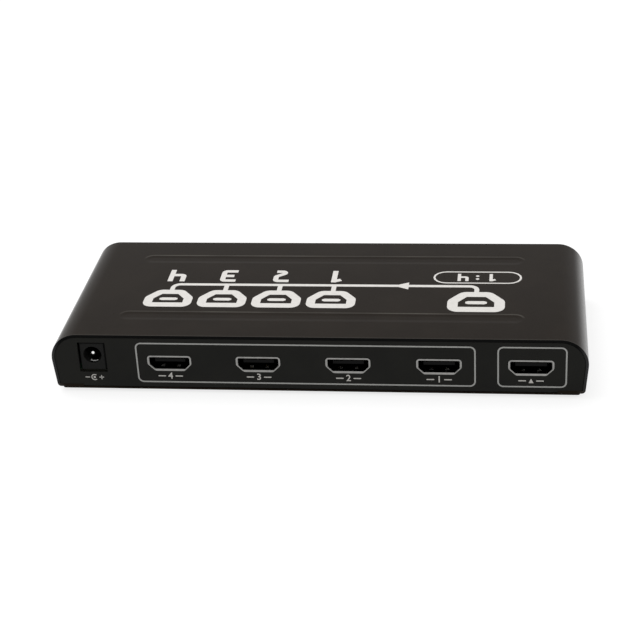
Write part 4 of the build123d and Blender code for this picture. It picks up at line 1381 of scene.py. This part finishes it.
@dataclass
class TopPrint:
    """A bold plain diagram on the roof: one socket sign feeds four, each with its numeral.

    It is drawn for a reader at the lamp panel: u runs to that reader's right and v away from them.
    """

    press: Press
    outputs: int = 4
    middle_y: float = -0.5 * MM
    sign_width: float = 17.4 * MM
    sign_height: float = 13.0 * MM
    sign_shoulder: float = 5.2 * MM
    sign_cut: float = 3.4 * MM
    sign_stroke: float = 3.2 * MM
    sign_corner: float = 1.75 * MM
    tongue_length: float = 6.8 * MM
    tongue_height: float = 2.0 * MM
    tongue_rise: float = 0.5 * MM
    sign_v: float = 8.5 * MM
    first_u: float = -3.0 * MM
    pitch: float = 19.5 * MM
    source_u: float = -54.0 * MM
    source_share: float = 1.15
    bus_v: float = -2.4 * MM
    bus_width: float = 1.7 * MM
    bus_corner: float = 2.6 * MM
    head_u: float = -27.0 * MM
    head_size: float = 5.4 * MM
    numeral_v: float = -9.4 * MM
    numeral_height: float = 7.4 * MM
    numeral_stroke: float = 1.9 * MM
    numeral_corner: float = 0.55
    badge_length: float = 31.0 * MM
    badge_height: float = 8.8 * MM
    badge_line: float = 0.7 * MM
    badge_spread: float = 5.2 * MM
    badge_share: float = 0.62
    dot_radius: float = 0.62 * MM
    dot_steps: int = 20

    def sign(self, name: str, share: float, spot: Spot) -> list[Object]:
        """Print one socket sign.

        Args:
            name: The start of its pieces' names.
            share: Its size against the four small ones.
            spot: Where its middle lies.

        Returns:
            The printed meshes.
        """
        half = share * (self.sign_width - self.sign_stroke) / 2
        rise = share * (self.sign_height - self.sign_stroke) / 2
        waist, sole = rise - share * self.sign_shoulder, half - share * self.sign_cut
        right = [(half, rise), (half, waist), (sole, -rise)]
        outline = right[::-1] + [(-u, v) for u, v in right]
        stroke, corner = share * self.sign_stroke, share * self.sign_corner
        tongue = spot.moved(0, share * self.tongue_rise)
        return [
            self.press.line(name + "_ring", outline, stroke, spot, corner, True),
            self.press.bar(name + "_tongue", share * self.tongue_length, share * self.tongue_height, tongue),
        ]

    def bus(self, spot: Spot) -> list[Object]:
        """Print the line that runs from the source to the four signs, with its arrow head.

        Args:
            spot: The middle of the diagram.

        Returns:
            The printed meshes.
        """
        foot = self.sign_v - self.sign_height / 2 + self.sign_stroke / 2
        *riser_us, last_u = [self.first_u + index * self.pitch for index in range(self.outputs)]
        path = [(self.source_u, foot), (self.source_u, self.bus_v), (last_u, self.bus_v), (last_u, foot)]
        pieces = [self.press.line("bus", path, self.bus_width, spot, self.bus_corner, layer=1)]
        for index, u in enumerate(riser_us):
            riser = [(u, self.bus_v), (u, foot)]
            pieces.append(self.press.line(f"riser_{index}", riser, self.bus_width, spot, layer=2))
        half = self.head_size / 2
        head = shifted([(-half, -half), (half, 0), (-half, half)], self.head_u, self.bus_v)
        return pieces + [self.press.shape("arrow_head", head, spot, 2)]

    def digit(self, name: str, number: int, share: float, spot: Spot) -> list[Object]:
        """Print one digit in bold even strokes.

        Args:
            name: The start of its pieces' names.
            number: The digit, from 1 to 4.
            share: Its size against the numerals under the signs.
            spot: Where its middle lies.

        Returns:
            The printed meshes.
        """
        height = share * self.numeral_height
        stroke = share * self.numeral_stroke
        pieces = []
        for index, points in enumerate(DIGIT_STROKES[number]):
            path = [(u * height, v * height) for u, v in points]
            corner = stroke * self.numeral_corner
            pieces.append(self.press.line(f"{name}_{index}", path, stroke, spot, corner, layer=index))
        return pieces

    def badge(self, spot: Spot) -> list[Object]:
        """Print the ratio of inputs to outputs in a long oval.

        Args:
            spot: Where its middle lies.

        Returns:
            The printed meshes.
        """
        oval = rounded_bar(self.badge_length, self.badge_height)
        pieces = [self.press.line("badge", oval, self.badge_line, spot, closed=True)]
        for number, side in ((1, -1), (self.outputs, 1)):
            place = spot.moved(side * self.badge_spread, 0)
            pieces += self.digit(f"badge_digit_{number}", number, self.badge_share, place)
        reach = self.badge_share * self.numeral_height / 4
        for side in (-1, 1):
            dot = shifted(disc(self.dot_radius, self.dot_steps), 0, side * reach)
            pieces.append(self.press.shape(f"badge_dot_{side}", dot, spot))
        return pieces

    def build(self) -> None:
        """Print the diagram."""
        middle = Spot(Face.TOP, Vector((0, self.middle_y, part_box("top_cover")[1].z)))
        pieces = self.bus(middle)
        for index in range(self.outputs):
            u = self.first_u + index * self.pitch
            pieces += self.sign(f"sign_{index + 1}", 1.0, middle.moved(u, self.sign_v))
            pieces += self.digit(f"digit_{index + 1}", index + 1, 1.0, middle.moved(u, self.numeral_v))
        source_v = self.sign_v + (self.source_share - 1) * self.sign_height / 2
        pieces += self.sign("source_sign", self.source_share, middle.moved(self.source_u, source_v))
        pieces += self.badge(middle.moved(self.source_u, self.numeral_v))
        finish_piece(joined("top_print", pieces))


@dataclass
class Underside:
    """Screws and rubber feet below the base plate: one turned shape each, set on its places."""

    steps: int = 40
    edge_step: int = 15
    smooth: float = 35.0
    head_radius: float = 2.3 * MM
    head_height: float = 1.0 * MM
    shank_radius: float = 1.25 * MM
    screw_reach: float = 6.9 * MM
    recess_length: float = 2.7 * MM
    recess_width: float = 0.55 * MM
    recess_depth: float = 0.6 * MM
    recess_clear: float = 1.0 * MM
    foot_radius: float = 5.0 * MM
    foot_edge: float = 0.6 * MM
    groove_depth: float = 0.25 * MM
    groove_width: float = 0.5 * MM
    grooves: Point2 = (1.6 * MM, 3.0 * MM)

    def turned(self, name: str, outline: Sequence[Point2]) -> Object:
        """A closed solid of revolution about Z, from its radii and heights, the lowest first."""
        rings = [[(x, y, height) for x, y in disc(radius, self.steps)] for radius, height in outline]
        return lofted(name, rings)

    def round_edge(self, radius: float, edge: float, bottom: float) -> list[Point2]:
        """The points of a rounded lower edge, from the sole outwards and up."""
        turns = [radians(angle) for angle in range(0, QUARTER_TURN + 1, self.edge_step)]
        return [(radius - edge * (1 - sin(turn)), bottom + edge * (1 - cos(turn))) for turn in turns]

    def recess(self, half_x: float, half_y: float) -> Object:
        """The cutter for one bar of the cross in a screw's head."""
        low, high = -self.head_height - self.recess_clear, -self.head_height + self.recess_depth
        return prism("recess", rectangle(half_x, half_y), low, high)

    def screw(self, length: float) -> Object:
        """A cross-recess pan-head screw that points up, its seat at zero.

        Args:
            length: The shank's length.

        Returns:
            The mesh object.
        """
        dome = self.round_edge(self.head_radius, self.head_height / 2, -self.head_height)
        outline = [*dome, (self.head_radius, 0), (self.shank_radius, 0), (self.shank_radius, length)]
        body = self.turned("screw_shape", outline)
        half_long, half_wide = self.recess_length / 2, self.recess_width / 2
        cutters = [self.recess(half_long, half_wide), self.recess(half_wide, half_long)]
        for cutter in cutters:
            cut = body.modifiers.new(cutter.name, "BOOLEAN")
            cut.operation = "DIFFERENCE"
            cut.solver = "EXACT"
            cut.object = cutter
        body = as_mesh(body)
        for cutter in cutters:
            bpy.data.objects.remove(cutter)
        return body

    def foot(self, thickness: float) -> Object:
        """A round rubber foot with two grooves in its sole.

        Args:
            thickness: Its thickness.

        Returns:
            The mesh object, its sole at zero.
        """
        outline = []
        for start in self.grooves:
            end = start + self.groove_width
            outline += [(start, 0), (start, self.groove_depth), (end, self.groove_depth), (end, 0)]
        outline += self.round_edge(self.foot_radius, self.foot_edge, 0)
        return self.turned("foot_shape", [*outline, (self.foot_radius, thickness)])

    def screw_places(self, seat: float) -> list[Vector]:
        """Where the screws sit, read from the CAD screws' own meshes.

        Args:
            seat: The height of the base plate's underside.

        Returns:
            One place for each screw.
        """
        groups: list[list[Vector]] = []
        for vertex in frame["nodes"]["case_screws"].data.vertices:
            near = [group for group in groups if (group[0] - vertex.co).xy.length < self.screw_reach]
            if near:
                near[0].append(vertex.co.copy())
            else:
                groups.append([vertex.co.copy()])
        middles = [[min(axis) + max(axis) for axis in zip(*group)] for group in groups]
        return [Vector((x / 2, y / 2, seat)) for x, y, _ in middles]

    def set_on(self, name: str, places: Sequence[Vector], shape: Object, slot: Slot, node: str) -> None:
        """Set a shape on each place and let it stand for a CAD node.

        Args:
            name: The piece's name.
            places: Where the shape's zero goes.
            shape: The shape, which is removed afterwards.
            slot: The slot whose material it gets.
            node: The CAD node.
        """
        mesh = bpy.data.meshes.new(name)
        mesh.from_pydata([tuple(place) for place in places], [], [])
        tree = Geometry(name + "_places")
        inputs = {"Points": tree.given, "Instance": tree.shape("Shape", shape)}
        copies = tree.node("GeometryNodeInstanceOnPoints", inputs).outputs[0]
        finish_piece(tree.run(new_object(name, mesh), copies, slot, self.smooth), [node])

    def build(self) -> None:
        """Make the feet and the screws."""
        low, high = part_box("rubber_feet")
        reach = self.foot_radius
        ends, sides = (low.x + reach, high.x - reach), (low.y + reach, high.y - reach)
        places = [Vector((x, y, 0)) for x in ends for y in sides]
        self.set_on("sole_feet", places, self.foot(high.z), Slot.FOOT_RUBBER, "rubber_feet")
        low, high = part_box("case_screws")
        seat = low.z + self.head_height
        places = self.screw_places(seat)
        self.set_on("base_screws", places, self.screw(high.z - seat), Slot.SCREW_STEEL, "case_screws")


@dataclass
class PhotoView:
    """The camera that sees the case as it was photographed."""

    focal_pixels: float = 1660.373
    frame_pixels: float = 640.0
    sensor: float = 36.0
    near: float = 10 * MM
    yaw: float = radians(7.879)
    pitch: float = radians(28.062)
    roll: float = radians(-3.165)
    distance: float = 601.297 * MM
    target: Place = (-2.66 * MM, 0.0, 9.37 * MM)

    def build(self) -> None:
        """Make the camera and set it as the scene's."""
        level = cos(self.pitch)
        forward = Vector((-sin(self.yaw) * level, cos(self.yaw) * level, -sin(self.pitch)))
        right = Vector((cos(self.yaw), sin(self.yaw), 0))
        up = right.cross(forward)
        across = right * cos(self.roll) + up * sin(self.roll)
        upward = up * cos(self.roll) - right * sin(self.roll)
        lens = bpy.data.cameras.new("photo_view")
        lens.sensor_width = self.sensor
        lens.lens = self.focal_pixels / self.frame_pixels * self.sensor
        lens.clip_start = self.near
        camera = new_object("photo_view", lens)
        camera.matrix_world = Matrix((across, upward, -forward)).transposed().to_4x4()
        camera.matrix_world.translation = Vector(self.target) - forward * self.distance
        bpy.context.scene.camera = camera


@dataclass
class Studio:
    """Pale floor, white surroundings and soft lamps."""

    floor_size: float = 6.0
    floor_colour: Colour = grey(0.42)
    floor_glow: float = 0.76
    sky_light: float = 0.5
    key_power: float = 5.0
    key_size: float = 0.9
    key_place: Place = (-0.45, 0.25, 1.1)
    fill_power: float = 1.2
    fill_size: float = 0.7
    fill_place: Place = (0.3, -0.9, 0.8)

    @staticmethod
    def seen(shader: Shader) -> Expr:
        """1 for camera, glossy and transmission rays, 0 for the rest."""
        rays = shader.node("ShaderNodeLightPath").outputs
        kinds = ("Is Camera Ray", "Is Glossy Ray", "Is Transmission Ray")
        return sum(Expr(shader, rays[kind]) for kind in kinds).least(1.0)

    def floor(self) -> None:
        """Lay the floor: it keeps a faint shadow and meets the white surroundings."""
        half = self.floor_size / 2
        mesh = bpy.data.meshes.new("floor")
        mesh.from_pydata([(x, y, 0) for x, y in rectangle(half, half)], [], [(0, 1, 2, 3)])
        shader = Shader("floor")
        plain = shader.node("ShaderNodeBsdfDiffuse", {"Color": self.floor_colour})
        glow = shader.node("ShaderNodeEmission", {"Strength": self.seen(shader) * self.floor_glow})
        both = shader.node("ShaderNodeAddShader", {0: plain.outputs[0], 1: glow.outputs[0]})
        shader.node("ShaderNodeOutputMaterial", {0: both.outputs[0]})
        mesh.materials.append(shader.material)
        new_object("floor", mesh)

    def sky(self) -> None:
        """Light from all round, seen as white."""
        world = bpy.data.worlds.new("studio")
        bpy.context.scene.world = world
        shader = Shader("studio", world)
        strength = self.seen(shader) * (1 - self.sky_light) + self.sky_light
        back = shader.node("ShaderNodeBackground", {"Color": grey(1.0), "Strength": strength})
        shader.node("ShaderNodeOutputWorld", {0: back.outputs[0]})

    def lamp(self, name: str, power: float, size: float, place: Place) -> None:
        """Hang one square soft lamp, turned towards the case.

        Args:
            name: The lamp's name.
            power: Its power in watts.
            size: The length of its side.
            place: Its middle.
        """
        light = bpy.data.lights.new(name, "AREA")
        light.energy = power
        light.size = size
        lamp = new_object(name, light)
        lamp.location = place
        lamp.rotation_euler = (-Vector(place)).to_track_quat("-Z", "Y").to_euler()

    def build(self) -> None:
        """Set up the floor, the sky and the lamps."""
        self.floor()
        self.sky()
        self.lamp("key", self.key_power, self.key_size, self.key_place)
        self.lamp("fill", self.fill_power, self.fill_size, self.fill_place)
        bpy.context.scene.view_settings.view_transform = "Standard"


def dress_frame() -> None:
    """Give every CAD node the material of its slot."""
    finishes = {slot.value.name: slot for slot in Slot}
    for part in frame["record"]["subparts"]:
        node = frame["nodes"][part["node"]]
        node.data.materials.clear()
        node.data.materials.append(finishes[part["material_slot"]].material())
    log.info("dressed %d CAD nodes", len(frame["nodes"]))


def main() -> None:
    """Build the looks in order."""
    logging.basicConfig(level=logging.INFO, format="%(name)s: %(message)s")
    dress_frame()
    Cover().build()
    press = Press()
    PanelPrint(press).build()
    TopPrint(press).build()
    Underside().build()
    PhotoView().build()
    Studio().build()


if __name__ == "__main__":
    main()
